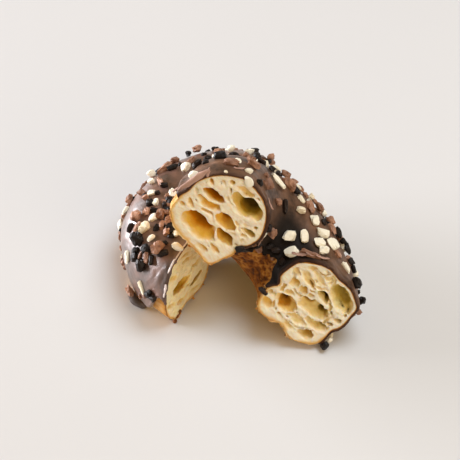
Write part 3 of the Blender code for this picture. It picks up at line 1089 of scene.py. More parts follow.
    def hollows(self, places: Array) -> Array:
        """Return a field that is negative in the cells' hollows.

        Args:
            places: Outward, depth and up of the lattice's places.

        Returns:
            The nearest cell's distance, or that minus the next one's plus the wall, whichever is larger.
        """
        weave = self.weave
        seed = weave.seed
        bent = places
        for reach, size, first in ((weave.bend, 3.4, seed), (weave.ragged, 1.3, seed + 5)):
            bent = bent + reach * np.stack([value_noise(places, size, first + k) for k in range(3)], axis=-1)
        axes = [places[:, 0, 0, 0], places[0, :, 0, 1], places[0, 0, :, 2]]
        rng = np.random.default_rng(seed)
        groups = self.named_groups()
        found = [lobe for group in groups for lobe in group]
        groups.append(self.thrown(weave.small, weave.small_size, (0.1, 1.2), weave.small_depth, rng, found))
        groups.append(self.thrown(weave.deep, (1.2, 2.4), (3.4, 7.6), (0.9, 1.7), rng, found))
        nearest = np.full(places.shape[:-1], FAR)
        second = nearest.copy()
        for group in groups:
            own = np.full(places.shape[:-1], FAR)
            for cell in group:
                window, distance = self.lobe(bent, axes, cell)
                own[window] = smooth_min(own[window], distance, 0.8)
            second = np.minimum(second, np.maximum(nearest, own))
            nearest = np.minimum(nearest, own)
        thick = weave.wall * (1.0 + 1.1 * value_noise(places, 2.6, seed + 9))
        return np.maximum(nearest, nearest - second + thick)

    def within(self, points: Array) -> Array:
        """Return how far inside the browned rim points lie."""
        places = self.face_place(points)
        around = np.degrees(np.arctan2(places[..., 2], places[..., 0]))
        return self.outline_distance(points) - self.half.rind(self.end, around) + 0.04

    def waves(self, points: Array, within: Array) -> Array:
        """Return how uneven the cut surface is: a slow noise, and a fine one drawn out along the layers."""
        places = self.face_place(points)
        seed = self.weave.seed
        slow = 0.45 * value_noise(points, 5.5, seed + 21) + 0.20 * value_noise(points, 1.9, seed + 22)
        tilted = places[..., 2] + 0.12 * places[..., 0] + 0.8 * value_noise(points, 4.0, seed + 25)
        drawn = np.stack((places[..., 0] / 3.0, places[..., 1] / 1.6, tilted / 0.62), axis=-1)
        return (slow + self.weave.fibre * value_noise(drawn, 1.0, seed + 26)) * smoothstep(0.0, 2.5, within)

    def toast(self, points: Array, places: Array, within: Array) -> Array:
        """Return how toasted the crumb is: most just inside the bare base's crust, with a ragged border."""
        radius = np.hypot(places[:, 0], places[:, 2]) + 1e-6
        base = smoothstep(0.15, -0.55, places[:, 2] / radius)
        reach = 0.35 + (0.3 + 1.0 * base) * np.clip(0.6 + 1.1 * fractal_noise(points, 2.6, 91), 0.05, 1.8)
        return np.clip(1.15 - within / reach, 0.0, 1.0) * (0.04 + 0.90 * base)

    def solid(self, points: Array) -> Array:
        """Return the field of the crumb: negative in the dough."""
        seed = self.weave.seed
        places = self.face_place(points)
        depth = places[..., 1]
        within = self.within(points)
        uneven = self.waves(points, within)
        body = np.maximum(-within, np.maximum(uneven - depth, depth - CRUMB_DEPTH))
        skin = 0.50 + 0.40 * self.weave.rounding + 0.30 * value_noise(points, 2.4, seed + 23)
        edge = np.maximum(skin - within, depth - CRUMB_DEPTH + 0.6)
        hollow = smooth_max(self.hollows(places), edge, 0.5)
        blend = self.weave.rounding * (1.0 + 0.8 * value_noise(points, 3.1, seed + 24))
        return smooth_max(body, -hollow, blend)

    def build(self, material: Material) -> Object:
        """Return the crumb as one closed piece with its depth, its tint and its layers as named values."""
        origin, lattice = self.lattice()
        values = self.solid(lattice)
        values[[0, -1]], values[:, [0, -1]], values[:, :, [0, -1]] = 1.0, 1.0, 1.0
        points, quads = surface_net(values, origin, self.voxel)
        points, quads = largest_part(points, quads)
        places = self.face_place(points)
        across, upward, start = self.tint
        side = across * places[:, 0] + upward * places[:, 2] + start
        tint = np.clip(side + 0.25 * value_noise(points, 5.0, 77), 0.0, 1.0)
        layers = places / np.array((1.9, 1.3, 0.62))
        within = self.within(points)
        deep = np.clip((places[:, 1] - self.waves(points, within)) / CRUMB_DEPTH, 0.0, 1.0)
        named = {"depth": deep, "tint": tint, "layers": layers, "toast": self.toast(points, places, within)}
        return write_piece(self.name, self.half.place(points), [quads], material, named)


UPPER_FRONT_CELLS = many(
    Cell,
    (1.7, -9.0, 8.5, 3.9, -4, 2.6, 1), (3.6, -7.6, 6.4, 3.3, 2, 6.0, 1, 0.5),
    (7.9, 4.0, 4.8, 2.35, -6, 5.6, 0, 0.25), (7.1, 0.2, 5.2, 1.9, -8, 2.0, 0, 0.5),
    (-2.8, -0.7, 5.2, 2.7, 3, 2.6, 2), (-2.4, 0.9, 1.9, 1.5, 0, 7.0, 2, 0.2),
    (-7.6, -5.6, 4.9, 2.4, 0, 3.0, 3), (-8.1, -4.8, 3.7, 1.9, 0, 5.6, 3, 0.3),
    (-3.7, 9.9, 7.3, 4.2, -2, 3.0, 4), (-5.0, 10.2, 4.6, 3.2, -4, 6.2, 4, 0.1),
    (0.7, 13.8, 4.0, 1.4, -10, 1.6, 0, 0.1), (12.9, 7.0, 1.7, 0.9, 30, 1.6), (9.4, 10.3, 1.6, 0.7, 0, 1.0),
    (7.2, 13.0, 1.0, 0.9, 0, 1.8), (4.9, 9.9, 1.9, 0.5, 36, 2.6), (-4.2, 14.8, 1.5, 0.7, -20, 3.0),
    (-12.5, 3.3, 2.6, 1.3, -6, 4.6), (-12.4, 6.0, 1.0, 0.8, 0, 2.4), (-11.5, 0.2, 1.4, 0.9, 0, 1.4),
    (-8.9, -11.2, 2.8, 0.8, 7, 1.4), (11.4, -4.6, 2.4, 0.8, 12, 1.4), (12.9, -7.0, 1.2, 0.7, 0, 1.5),
    (2.6, 6.9, 1.2, 0.5, 20, 1.2), (-4.8, -14.2, 2.8, 0.8, 5, 1.2),
)

LOWER_FRONT_CELLS = many(
    Cell,
    (-5.2, -6.7, 5.6, 3.1, -10, 2.6, 1), (-6.4, -7.4, 3.2, 2.2, -20, 5.0, 1, 0.2),
    (3.4, -1.0, 7.4, 3.7, 14, 2.6, 2), (-0.3, 0.2, 2.2, 1.6, 10, 5.6, 2, 0.2),
    (6.7, 0.7, 2.4, 1.6, 10, 5.2, 2, 0.2), (7.0, 9.9, 8.0, 3.7, -17, 3.2, 3),
    (6.6, 10.8, 6.0, 2.4, -17, 4.8, 3, 0.2), (2.2, 5.3, 3.8, 1.5, 15, 2.4, 4),
    (1.6, 6.0, 3.2, 1.2, 15, 8.8, 4, 0.1), (3.6, 5.6, 1.2, 1.6, 40, 8.2, 4, 0.1),
    (-7.4, 6.0, 5.6, 1.8, -10, 1.3, 5), (-5.2, 5.5, 1.9, 0.6, -14, 7.0, 5), (10.2, 3.8, 2.1, 0.7, -16, 7.4),
    (9.4, -10.4, 3.7, 2.1, 12, 3.0), (9.2, -5.0, 5.6, 1.7, 12, 2.0, 6), (11.6, -3.4, 1.6, 1.0, 12, 5.4, 6),
    (13.6, 2.9, 1.9, 1.1, 10, 3.4), (12.6, -0.6, 1.5, 0.9, 20, 4.6), (13.8, 6.9, 1.5, 0.8, -50, 5.0),
    (-5.4, 9.8, 4.8, 1.6, -12, 1.1), (-3.2, 14.0, 3.6, 1.4, -22, 1.2), (-10.4, 10.2, 2.6, 1.4, 30, 1.0),
    (-10.4, 1.2, 2.5, 1.8, -10, 2.0), (-5.2, 1.6, 2.3, 1.5, -10, 2.4), (-13.2, 5.6, 2.3, 1.6, -14, 1.6),
    (-1.4, 2.2, 1.4, 0.9, 10, 2.0), (-12.4, -3.2, 2.6, 1.7, 10, 1.6), (-11.0, -11.9, 2.9, 1.6, -6, 2.0),
    (2.4, -8.6, 4.6, 1.8, 14, 1.5), (-13.6, -7.6, 2.0, 1.3, 10, 1.6), (2.0, -13.0, 3.8, 1.3, 5, 1.2),
    (-8.6, -2.4, 2.2, 1.0, 6, 1.4), (14.2, -2.8, 1.3, 0.8, 60, 3.0),
)

LEFT_CELLS = many(
    Cell,
    (3.8, -1.5, 6.6, 2.6, 11, 2.7, 1, -0.6), (4.2, -1.8, 4.8, 1.9, 12, 3.1, 1, -0.8),
    (-6.7, -8.5, 4.9, 1.2, -4, 5.0, 0, -1.4), (10.2, 7.6, 4.8, 1.7, 24, 2.0, 0, 0.4),
    (11.6, -5.8, 2.8, 1.3, 24, 2.2), (3.0, -9.6, 5.6, 1.3, 8, 1.8), (-7.4, 1.2, 4.8, 1.1, 12, 2.0),
    (-2.0, 8.6, 6.0, 1.2, 12, 1.5), (-6.6, -12.6, 4.2, 1.0, 3, 1.6), (4.5, -13.4, 4.0, 0.9, 6, 1.4),
    (1.0, 12.6, 4.6, 0.8, 10, 1.3), (-9.5, 6.0, 3.2, 0.9, 20, 1.4),
)

HIDDEN_CELLS = many(
    Cell,
    (5.5, 6.5, 6.4, 3.4, -20, 2.8, 1), (5.8, 7.2, 4.8, 2.6, -20, 6.0, 1), (-5.6, 5.0, 4.8, 2.8, 22, 5.0),
    (2.0, -4.6, 7.0, 3.0, 8, 2.8, 2), (3.0, -3.8, 4.4, 2.2, 8, 6.4, 2), (-8.2, -5.6, 4.0, 2.2, 0, 3.8),
    (10.5, -0.6, 3.0, 1.6, 20, 3.2), (-2.0, 12.4, 5.0, 1.6, 0, 3.0), (1.0, -11.6, 5.4, 1.8, 5, 2.6),
)


# ----- coating

@dataclass(frozen=True)
class Drip:
    """Where a coating's edge runs down: its ring angle, side, fall (up if negative) and spread."""

    ring: float
    side: Side
    fall: float
    spread: float


@dataclass
class Coating:
    """The chocolate over one half: a shell with a rounded lower edge, drips, ridges and a ragged broken rim,
    with shade painted down in the hole.

    rim_growth is how far outside the crust its rims are placed; arc and ragged_arc turn degrees of the
    section into millimetres for its edge and for its ragged rims.
    """

    half: HalfRing
    rows: int = 210
    columns: int = 150
    bead: float = 1.3
    rim_growth: float = 0.6
    arc: float = 0.29
    ragged_arc: float = 0.28
    drips: tuple[Drip, ...] = ()
    seed: int = 500

    def edges(self, ring: Array) -> tuple[Array, Array]:
        """Return the coating's two edges with the drips, each a Gaussian around its ring angle."""
        outer, inner = self.half.coat_edges(ring)
        line = np.stack((np.radians(ring) * NOISE_RING, np.zeros_like(ring), np.zeros_like(ring)), axis=-1)
        outer = outer + 2.6 * fractal_noise(line, 5.0, self.seed)
        inner = inner + 2.6 * fractal_noise(line, 5.0, self.seed + 1)
        for drip in self.drips:
            drop = drip.fall * np.exp(-np.abs((ring - drip.ring) / drip.spread) ** 2)
            if drip.side is Side.OUTER:
                outer = outer - drop
            else:
                inner = inner + drop
        return outer, inner

    def lumps(self, points: Array, behind: Array) -> Array:
        """Return how far the outside stands off its even thickness: swells, dents and ridges by the cut."""
        swell = 0.42 * fractal_noise(points, 7.0, self.seed + 3)
        swell = swell + 0.13 * fractal_noise(points, 1.8, self.seed + 4)
        wave = np.sin(behind * 2.1 + 2.0 * value_noise(points, 6.0, self.seed + 5))
        mask = smoothstep(-0.1, 0.5, value_noise(points, 9.0, self.seed + 6))
        return swell + 0.24 * wave * mask * np.exp(-behind / 5.0)

    def rings_along(self, share: Array, section: float) -> Array:
        """Return the ring angles of the rows where they pass a section angle."""
        first, last = (self.half.ring_at_cut(end, np.array(section), self.rim_growth, 0.0) for end in End)
        return first + (last - first) * share

    def painted_shade(self, ring: Array, section: Array) -> Array:
        """Return where shade is painted on the chocolate: most down in the hole, and near the +X end's inner
        side.
        """
        inner = smoothstep(116.0, 140.0, section)
        return np.clip(inner * (0.4 + 0.6 * (1.0 - smoothstep(95.0, 150.0, ring))), 0.0, 1.0)

    def grid(self) -> tuple[Array, Array, Array, Array]:
        """Return the outside and the inside of the shell, how near to the broken rim each corner is, and its
        painted shade.
        """
        half = self.half
        ends = np.array((0.0, 0.0025, 0.006, 0.012))
        share = np.concatenate([ends, np.linspace(0.02, 0.98, self.rows), 1.0 - ends[::-1]])
        edge = np.array((0.0, 0.002, 0.005, 0.010, 0.016))
        across = np.concatenate([edge, np.linspace(0.024, 0.976, self.columns), 1.0 - edge[::-1]])
        low_edge, high_edge = (
            self.edges(self.rings_along(share, side))[k] for k, side in enumerate((-30.0, 195.0)))
        section = low_edge[:, None] + (high_edge - low_edge)[:, None] * across[None, :]
        rims = []
        for end, row, shift, seed in ((End.RIGHT, 0, 0.0, 7), (End.LEFT, -1, 40.0, 8)):
            along = section[row] * self.ragged_arc
            line = np.stack((along, np.full_like(across, shift), np.zeros_like(across)), axis=-1)
            ragged = 0.60 * fractal_noise(line, 1.3, self.seed + seed) - 0.10
            rims.append(half.ring_at_cut(end, section[row], self.rim_growth, ragged))
        first, last = rims
        ring = first[None, :] + (last - first)[None, :] * share[:, None]
        smooth = half.point(ring, section, COAT_GAP)
        behind = np.abs(smooth[..., 1] - half.cut)
        arc = across[None, :] * np.abs(section[:, -1:] - section[:, :1]) * self.arc
        left = np.minimum(arc, arc[:, ::-1])
        rounding = np.sqrt(np.clip(1.0 - np.clip(1.0 - left / self.bead, 0.0, 1.0) ** 2, 0.0, 1.0))
        swollen = 1.0 + 0.30 * np.exp(-((left - 1.3) / 1.2) ** 2)
        broken = np.exp(-behind / 0.35)
        thick = (COAT_GAP + COAT_THICKNESS) * (swollen - 0.28 * np.exp(-behind / 2.5))
        thick = thick + self.lumps(smooth, behind)
        outside = half.point(ring, section, np.maximum(thick * rounding - 0.28 * broken, 0.14))
        inside = half.point(ring, section, 0.02 - 0.25 * (1.0 - rounding) + np.zeros_like(thick))
        return outside, inside, broken, self.painted_shade(ring, section)

    def build(self, material: Material) -> Object:
        """Return the coating as one closed piece, its two sides joined along the edges and the rims."""
        outside, inside, broken, dark = self.grid()
        rows, columns = outside.shape[:2]
        loop = np.concatenate([outside, inside[:, ::-1]], axis=1)
        near = end_strip(columns)
        far = near[:, [0, 3, 2, 1]] + (rows - 1) * 2 * columns
        faces = [sheet_faces(rows, 2 * columns), near, far]
        # shade carries the painted shade down in the hole, for both sides of the shell
        values = {"broken": np.concatenate([broken, np.ones_like(broken)], axis=1).reshape(-1),
                  "shade": np.concatenate([dark, dark[:, ::-1]], axis=1).reshape(-1)}
        points = self.half.place(loop.reshape(-1, 3))
        return write_piece(f"{self.half.name}_chocolate", points, faces, material, values)


# ----- bits on the coating

class Kind(Enum):
    """The kinds of bits: name, sharpness of facets, thickness for width, roughness, millimetres per pixel."""

    NUT = ("nuts", 22.0, 0.85, 0.03, 0.40)
    MILK = ("milk_bits", 20.0, 0.95, 0.10, 0.47)
    DARK = ("dark_bits", 20.0, 0.95, 0.06, 0.44)

    def __init__(self, label: str, sharpness: float, thickness: float, rough: float, pixel: float) -> None:
        """Keep the parts of the value under names."""
        self.label, self.sharpness, self.thickness = label, sharpness, thickness
        self.rough, self.pixel = rough, pixel


# Bits that the photograph shows, as its pixels: the middle's place across and down, length, width, and the
# turn of the length from rightwards to downwards in degrees.
SEEN_BITS = {
    Kind.NUT: (
        (153, 176, 9, 9, 0), (152, 183, 7, 6, 0), (186, 168, 12, 10, 90), (152, 194, 9, 8, 0),
        (127, 211, 10, 6, -50), (156, 203, 9, 6, 90), (153, 219, 10, 7, -50), (145, 229, 13, 11, 90),
        (151, 239, 9, 5, -60), (176, 235, 9, 7, 90), (178, 248, 13, 8, 30), (128, 257, 14, 6, 90),
        (142, 287, 14, 5, 90), (195, 176, 10, 8, -20), (214, 157, 6, 4, 90), (231, 151, 9, 8, 90),
        (238, 162, 8, 5, 90), (250, 153, 9, 8, 0), (248, 172, 8, 5, 10), (249, 180, 10, 7, 80),
        (226, 172, 3, 3, 0), (277, 168, 10, 5, 30), (277, 182, 20, 6, 50), (297, 187, 8, 4, 90),
        (300, 199, 11, 6, 65), (311, 197, 6, 6, 0), (309, 203, 8, 4, 60), (300, 210, 8, 8, 0),
        (323, 214, 8, 6, 40), (314, 221, 12, 10, 90), (289, 236, 13, 11, 0), (304, 237, 12, 8, 90),
        (322, 234, 15, 9, 0), (319, 244, 12, 10, 0), (323, 252, 10, 9, 0), (332, 245, 14, 10, 65),
        (294, 254, 16, 10, 20), (345, 268, 12, 6, 70), (331, 341, 6, 5, 0), (173, 194, 11, 8, 90),
    ),
    Kind.MILK: (
        (165, 170, 16, 6, -45), (175, 162, 9, 7, 0), (161, 183, 12, 5, 70), (143, 194, 6, 5, 90),
        (131, 200, 9, 6, 90), (146, 199, 5, 5, 0), (147, 213, 9, 6, 90), (138, 217, 10, 7, 90),
        (138, 228, 11, 5, -65), (160, 216, 9, 8, 90), (164, 203, 4, 4, 0), (168, 206, 4, 4, 0),
        (172, 212, 6, 5, 90), (167, 220, 5, 5, 0), (162, 226, 8, 5, 90), (167, 233, 8, 6, 90),
        (158, 248, 13, 10, 90), (147, 257, 11, 5, 90), (140, 257, 10, 3, -60), (130, 291, 9, 7, 90),
        (141, 296, 4, 3, 0), (145, 296, 4, 3, 0), (198, 151, 8, 7, 90), (191, 161, 14, 4, 90),
        (218, 152, 8, 5, 0), (231, 164, 12, 7, 0), (252, 165, 12, 8, 0), (270, 156, 9, 5, 0),
        (275, 163, 5, 5, 0), (266, 176, 5, 4, 0), (266, 185, 10, 7, 90), (287, 185, 12, 8, 55),
        (295, 181, 7, 4, 0), (305, 196, 6, 4, 90), (277, 202, 6, 6, 0), (309, 208, 11, 6, 90),
        (322, 206, 9, 5, -35), (329, 221, 10, 7, 25), (331, 230, 9, 7, 90), (337, 255, 8, 5, 0),
        (271, 231, 9, 7, 90), (310, 256, 16, 5, 20), (168, 197, 5, 4, 0), (171, 201, 5, 4, 60),
        (163, 212, 6, 5, 30), (167, 214, 6, 5, 0), (171, 218, 5, 4, 90), (168, 225, 6, 5, 0),
        (173, 222, 5, 4, 30), (172, 206, 5, 4, 90), (280, 160, 6, 4, 40), (262, 160, 7, 5, 0),
        (287, 172, 8, 5, 50), (300, 190, 7, 4, 60), (316, 201, 6, 4, 50), (321, 205, 9, 6, -30),
    ),
    Kind.DARK: (
        (180, 165, 5, 4, 90), (173, 169, 10, 5, 0), (189, 155, 6, 5, -40), (165, 186, 7, 5, 0),
        (146, 196, 5, 4, 0), (158, 194, 5, 4, 0), (150, 204, 7, 7, 0), (155, 211, 8, 6, 0),
        (131, 228, 10, 6, -60), (140, 239, 13, 11, 90), (157, 228, 8, 6, 90), (170, 203, 6, 6, 0),
        (166, 210, 8, 5, 0), (166, 227, 5, 4, 0), (172, 230, 14, 5, 90), (164, 244, 8, 5, 0),
        (163, 254, 10, 6, 0), (146, 249, 9, 9, 0), (136, 257, 9, 7, 90), (143, 265, 12, 10, 90),
        (152, 260, 9, 5, 90), (133, 292, 6, 5, 0), (150, 293, 8, 8, 0), (154, 298, 8, 6, 0),
        (204, 155, 6, 4, 0), (198, 166, 10, 7, 0), (206, 163, 6, 4, 0), (215, 150, 7, 5, -30),
        (220, 158, 12, 9, 0), (257, 157, 9, 7, 90), (268, 161, 6, 5, 0), (277, 175, 6, 6, 0),
        (271, 170, 6, 5, 0), (259, 183, 7, 6, 0), (293, 190, 12, 6, 90), (284, 207, 13, 6, 90),
        (323, 223, 6, 5, 90), (337, 233, 11, 6, 90), (342, 241, 6, 6, 0), (346, 250, 10, 6, 60),
        (350, 262, 7, 5, 70), (352, 270, 7, 5, 70), (354, 283, 10, 8, 90), (323, 345, 7, 7, 0),
        (258, 298, 10, 5, 90), (240, 248, 8, 5, 0), (249, 249, 9, 5, 0), (258, 246, 8, 4, -20),
        (169, 200, 6, 5, 0), (165, 206, 6, 5, 40), (170, 211, 6, 5, 0), (166, 218, 6, 4, 90),
        (170, 226, 8, 5, 60), (168, 231, 8, 5, 80), (171, 237, 6, 5, 0), (137, 250, 8, 6, 0),
        # The three dark bits on the next line, beside the hole, partly stand for the shade there: painted
        # shade as dark things
        (283, 262, 7, 5, 60), (277, 250, 8, 6, 0), (271, 246, 7, 5, 20),
    ),
}


@dataclass
class Toppings:
    """Bits stuck to both coatings: the ones seen, and ones strewn over the hidden sides."""

    coats: dict[str, Object]
    spacing: float = 2.7
    throws: int = 5000
    sizes: Span = (1.9, 4.3)
    strewn: dict[str, int] = field(default_factory=lambda: {"flat_half": 300, "leaning_half": 190})
    shares: Span = (0.26, 0.68)
    seed: int = 900
    kept_clear: tuple[tuple[float, float, float, float], ...] = ((168, 150, 208, 205), (334, 315, 362, 346))

    @staticmethod
    def block() -> tuple[Array, Array]:
        """Return the directions and quads of a cube cut in three along each side."""
        size = 3
        index = np.argwhere(np.ones((size + 1,) * 3))
        edge = ((index == 0) | (index == size)).any(axis=1)
        number = np.full((size + 1,) * 3, -1)
        number[tuple(index[edge].T)] = np.arange(edge.sum())
        quads = []
        a, b = (g.reshape(-1) for g in np.meshgrid(np.arange(size), np.arange(size), indexing="ij"))
        for axis in range(3):
            side, other = (axis + 1) % 3, (axis + 2) % 3
            for level in (0, size):
                ring = []
                for da, db in ((0, 0), (1, 0), (1, 1), (0, 1)):
                    corner = np.zeros((len(a), 3), int)
                    corner[:, axis], corner[:, side], corner[:, other] = level, a + da, b + db
                    ring.append(number[tuple(corner.T)])
                quads.append(np.stack(ring if level else ring[::-1], axis=-1))
        way = np.tan((index[edge] / size * 2.0 - 1.0) * math.pi / 4.0 * 0.9)
        return unit(way), np.concatenate(quads)

    def shapes(self, count: int, kind: Kind, rng: np.random.Generator) -> Array:
        """Return the corners of facetted lumps about a unit in radius.

        The radius in a direction is a soft minimum over facets: each facet, at its own distance, limits the
        radius to that distance over the cosine of the direction's angle to it.
        """
        ways, _quads = self.block()
        facets = unit(rng.normal(size=(count, 12, 3)))
        box = np.concatenate([np.eye(3), -np.eye(3)])
        facets[:, :6] = unit(box + rng.normal(scale=0.18, size=(count, 6, 3)))
        away = rng.uniform(0.66, 1.05, size=(count, 12))
        away[:, :6] = rng.uniform(0.86, 1.10, size=(count, 6))
        cosines = np.clip(np.einsum("vk,nfk->nvf", ways, facets), 0.0, None) / away[:, None, :]
        radius = ((cosines ** kind.sharpness).sum(-1) + 1e-9) ** (-1.0 / kind.sharpness)
        radius = np.clip(radius, 0.4, 1.35) * (1.0 + rng.normal(scale=kind.rough, size=radius.shape))
        return ways[None] * radius[..., None]

    def seen(self, trees: dict[str, BVHTree]) -> dict[tuple[str, Kind], list]:
        """Return the bits that the photograph shows, by coating and kind: place, outward, long way, sizes."""
        right, top, _back = EYE.axes()
        start = Vector(EYE.place())
        found: dict[tuple[str, Kind], list] = {}
        for kind, spots in SEEN_BITS.items():
            for x, y, length, width, turn in spots:
                way = EYE.ray(x, y)
                best = None
                for name, tree in trees.items():
                    place, normal, _face, distance = tree.ray_cast(start, Vector(way))
                    if place is not None and (best is None or distance < best[3]):
                        best = (name, np.array(place), np.array(normal), distance)
                if best is None:
                    best = self.nearest_to_ray(trees, start, way)
                name, place, normal, _distance = best
                angle = math.radians(turn)
                long_way = right * math.cos(angle) - top * math.sin(angle)
                sizes = np.array((length, width)) * kind.pixel
                found.setdefault((name, kind), []).append((place, normal, long_way, sizes))
        return found

    @staticmethod
    def nearest_to_ray(trees: dict[str, BVHTree], start: Vector,
                       way: Array) -> tuple[str, Array, Array, float]:
        """Return the coating's place nearest to a line of sight, moved a little towards the line."""
        best = None
        for distance in np.linspace(*SEARCH):
            spot = start + Vector(way) * float(distance)
            for name, tree in trees.items():
                place, normal, _face, away = tree.find_nearest(spot)
                if best is None or away < best[3]:
                    moved = place + (spot - place) * min(1.0, STAND_OUT / away)
                    best = (name, np.array(moved), np.array(normal), away)
        return best

    def hidden(self, name: str, coat: Object, trees: dict[str, BVHTree], taken: list[Array],
               rng: np.random.Generator) -> list:
        """Return places strewn over what the camera doesn't see, kept apart and off the edges.

        Args:
            name: The half's name.
            coat: Its coating.
            trees: Both coatings, which may hide a place.
            taken: Places of the seen bits.
            rng: Source of the draws.

        Returns:
            Places and normals.
        """
        mesh = coat.data
        areas = read_values(mesh.polygons, "area", 1)[:, 0]
        middles = read_values(mesh.polygons, "center", 3) / MM
        normals = read_values(mesh.polygons, "normal", 3)
        half = HALVES[name]
        local = half.unplace(middles)
        local_normals = normals @ half.rotation()
        core = local.copy()
        core[:, 2] = 0.0
        core *= RING_RADIUS / np.linalg.norm(core, axis=1, keepdims=True)
        outward = ((local - core) * local_normals).sum(-1) > 0.0
        section_up = (local - core)[:, 2]
        hole_side = np.hypot(local[:, 0], local[:, 1]) < RING_RADIUS - 11.0
        behind = local[:, 1] - half.cut
        allowed = outward & (behind > 2.2) & (section_up > -7.0) & (middles[:, 2] > 3.0)
        weight = areas * allowed * np.where(hole_side, 0.25, 1.0) * smoothstep(-9.0, 2.0, section_up)
        pixels = EYE.pixels(middles)
        for left, top, right, bottom in self.kept_clear:
            inside = ((pixels > (left, top)) & (pixels < (right, bottom))).all(axis=1)
            weight = np.where(inside, 0.0, weight)
        order = rng.choice(len(areas), size=self.throws, p=weight / weight.sum())
        eye = EYE.place()
        kept, others = [], list(taken)
        for number in order:
            if len(kept) >= self.strewn[name]:
                break
            spot, normal = middles[number], normals[number]
            if others and np.min(np.linalg.norm(np.array(others) - spot, axis=1)) < self.spacing:
                continue
            to_eye = eye - spot
            if normal @ to_eye > -0.12 * np.linalg.norm(to_eye):
                start = Vector(spot + normal * 0.3)
                way = Vector(to_eye).normalized()
                if all(tree.ray_cast(start, way)[0] is None for tree in trees.values()):
                    continue
            others.append(spot)
            kept.append((spot, normal))
        return kept

    def build(self, materials: dict[Kind, Material]) -> list[Object]:
        """Return the bits, one piece for each coating and kind."""
        rng = np.random.default_rng(self.seed)
        trees = {}
        for name, coat in self.coats.items():
            corners = read_values(coat.data.vertices, "co", 3) / MM
            quads = read_values(coat.data.loops, "vertex_index", 1, np.int32).reshape(-1, 4)
            trees[name] = BVHTree.FromPolygons(corners.tolist(), quads.tolist())
        found = self.seen(trees)
        for name, coat in self.coats.items():
            taken = [spot[0] for (owner, _kind), spots in found.items() if owner == name for spot in spots]
            for spot, normal in self.hidden(name, coat, trees, taken, rng):
                pick = rng.random()
                kind = list(Kind)[sum(pick >= share for share in self.shares)]
                size = rng.uniform(*self.sizes) * (1.15 if kind is Kind.NUT else 0.95)
                sizes = np.array((size, size * rng.uniform(0.5, 0.95)))
                found.setdefault((name, kind), []).append((spot, normal, rng.normal(size=3), sizes))
        pieces = []
        for (name, kind), spots in sorted(found.items(), key=lambda item: (item[0][0], item[0][1].label)):
            pieces.append(self.write(name, kind, spots, materials[kind], rng))
        return pieces

    def write(self, name: str, kind: Kind, spots: list, material: Material,
              rng: np.random.Generator) -> Object:
        """Return one piece of bits, each sunk a little into the coating at its spot."""
        _ways, quads = self.block()
        shapes = self.shapes(len(spots), kind, rng)
        places, normals, ways, sizes = (np.array([spot[k] for spot in spots]) for k in range(4))
        normals = unit(normals)
        ways = unit(ways - normals * (ways * normals).sum(-1, keepdims=True))
        sides = np.cross(normals, ways)
        thick = sizes[:, 1] * kind.thickness * rng.uniform(0.8, 1.1, len(spots))
        half_sizes = np.stack((sizes[:, 0], sizes[:, 1], thick), axis=-1) / 2.0
        frames = np.stack((ways, sides, normals), axis=1)
        middles = places + normals * (thick * 0.30)[:, None]
        corners = np.einsum("nvk,nkj->nvj", shapes * half_sizes[:, None, :], frames) + middles[:, None, :]
        count = shapes.shape[1]
        faces = repeated_faces(quads, len(spots), count)
        shade = np.repeat(rng.random(len(spots)) ** 3, count)
        name = f"{name}_{kind.label}"
        piece = write_piece(name, corners.reshape(-1, 3), [faces], material, {"shade": shade})
        piece.data.shade_flat()
        return piece


# ----- flakes and runs

@dataclass(frozen=True)
class Flake:
    """One thin curled flake: where its middle lies, its sizes, and how it turns, tilts, lifts and curls.

    turn is from the ring's direction towards a rising section angle, tilt raises its leading end, and roll
    turns it about its length.
    """

    ring: float
    section: float
    length: float
    width: float
    turn: float
    tilt: float = 0.0
    lift: float = 0.2
    curl: float = 0.0
    thickness: float = 0.35
    roll: float = 0.0


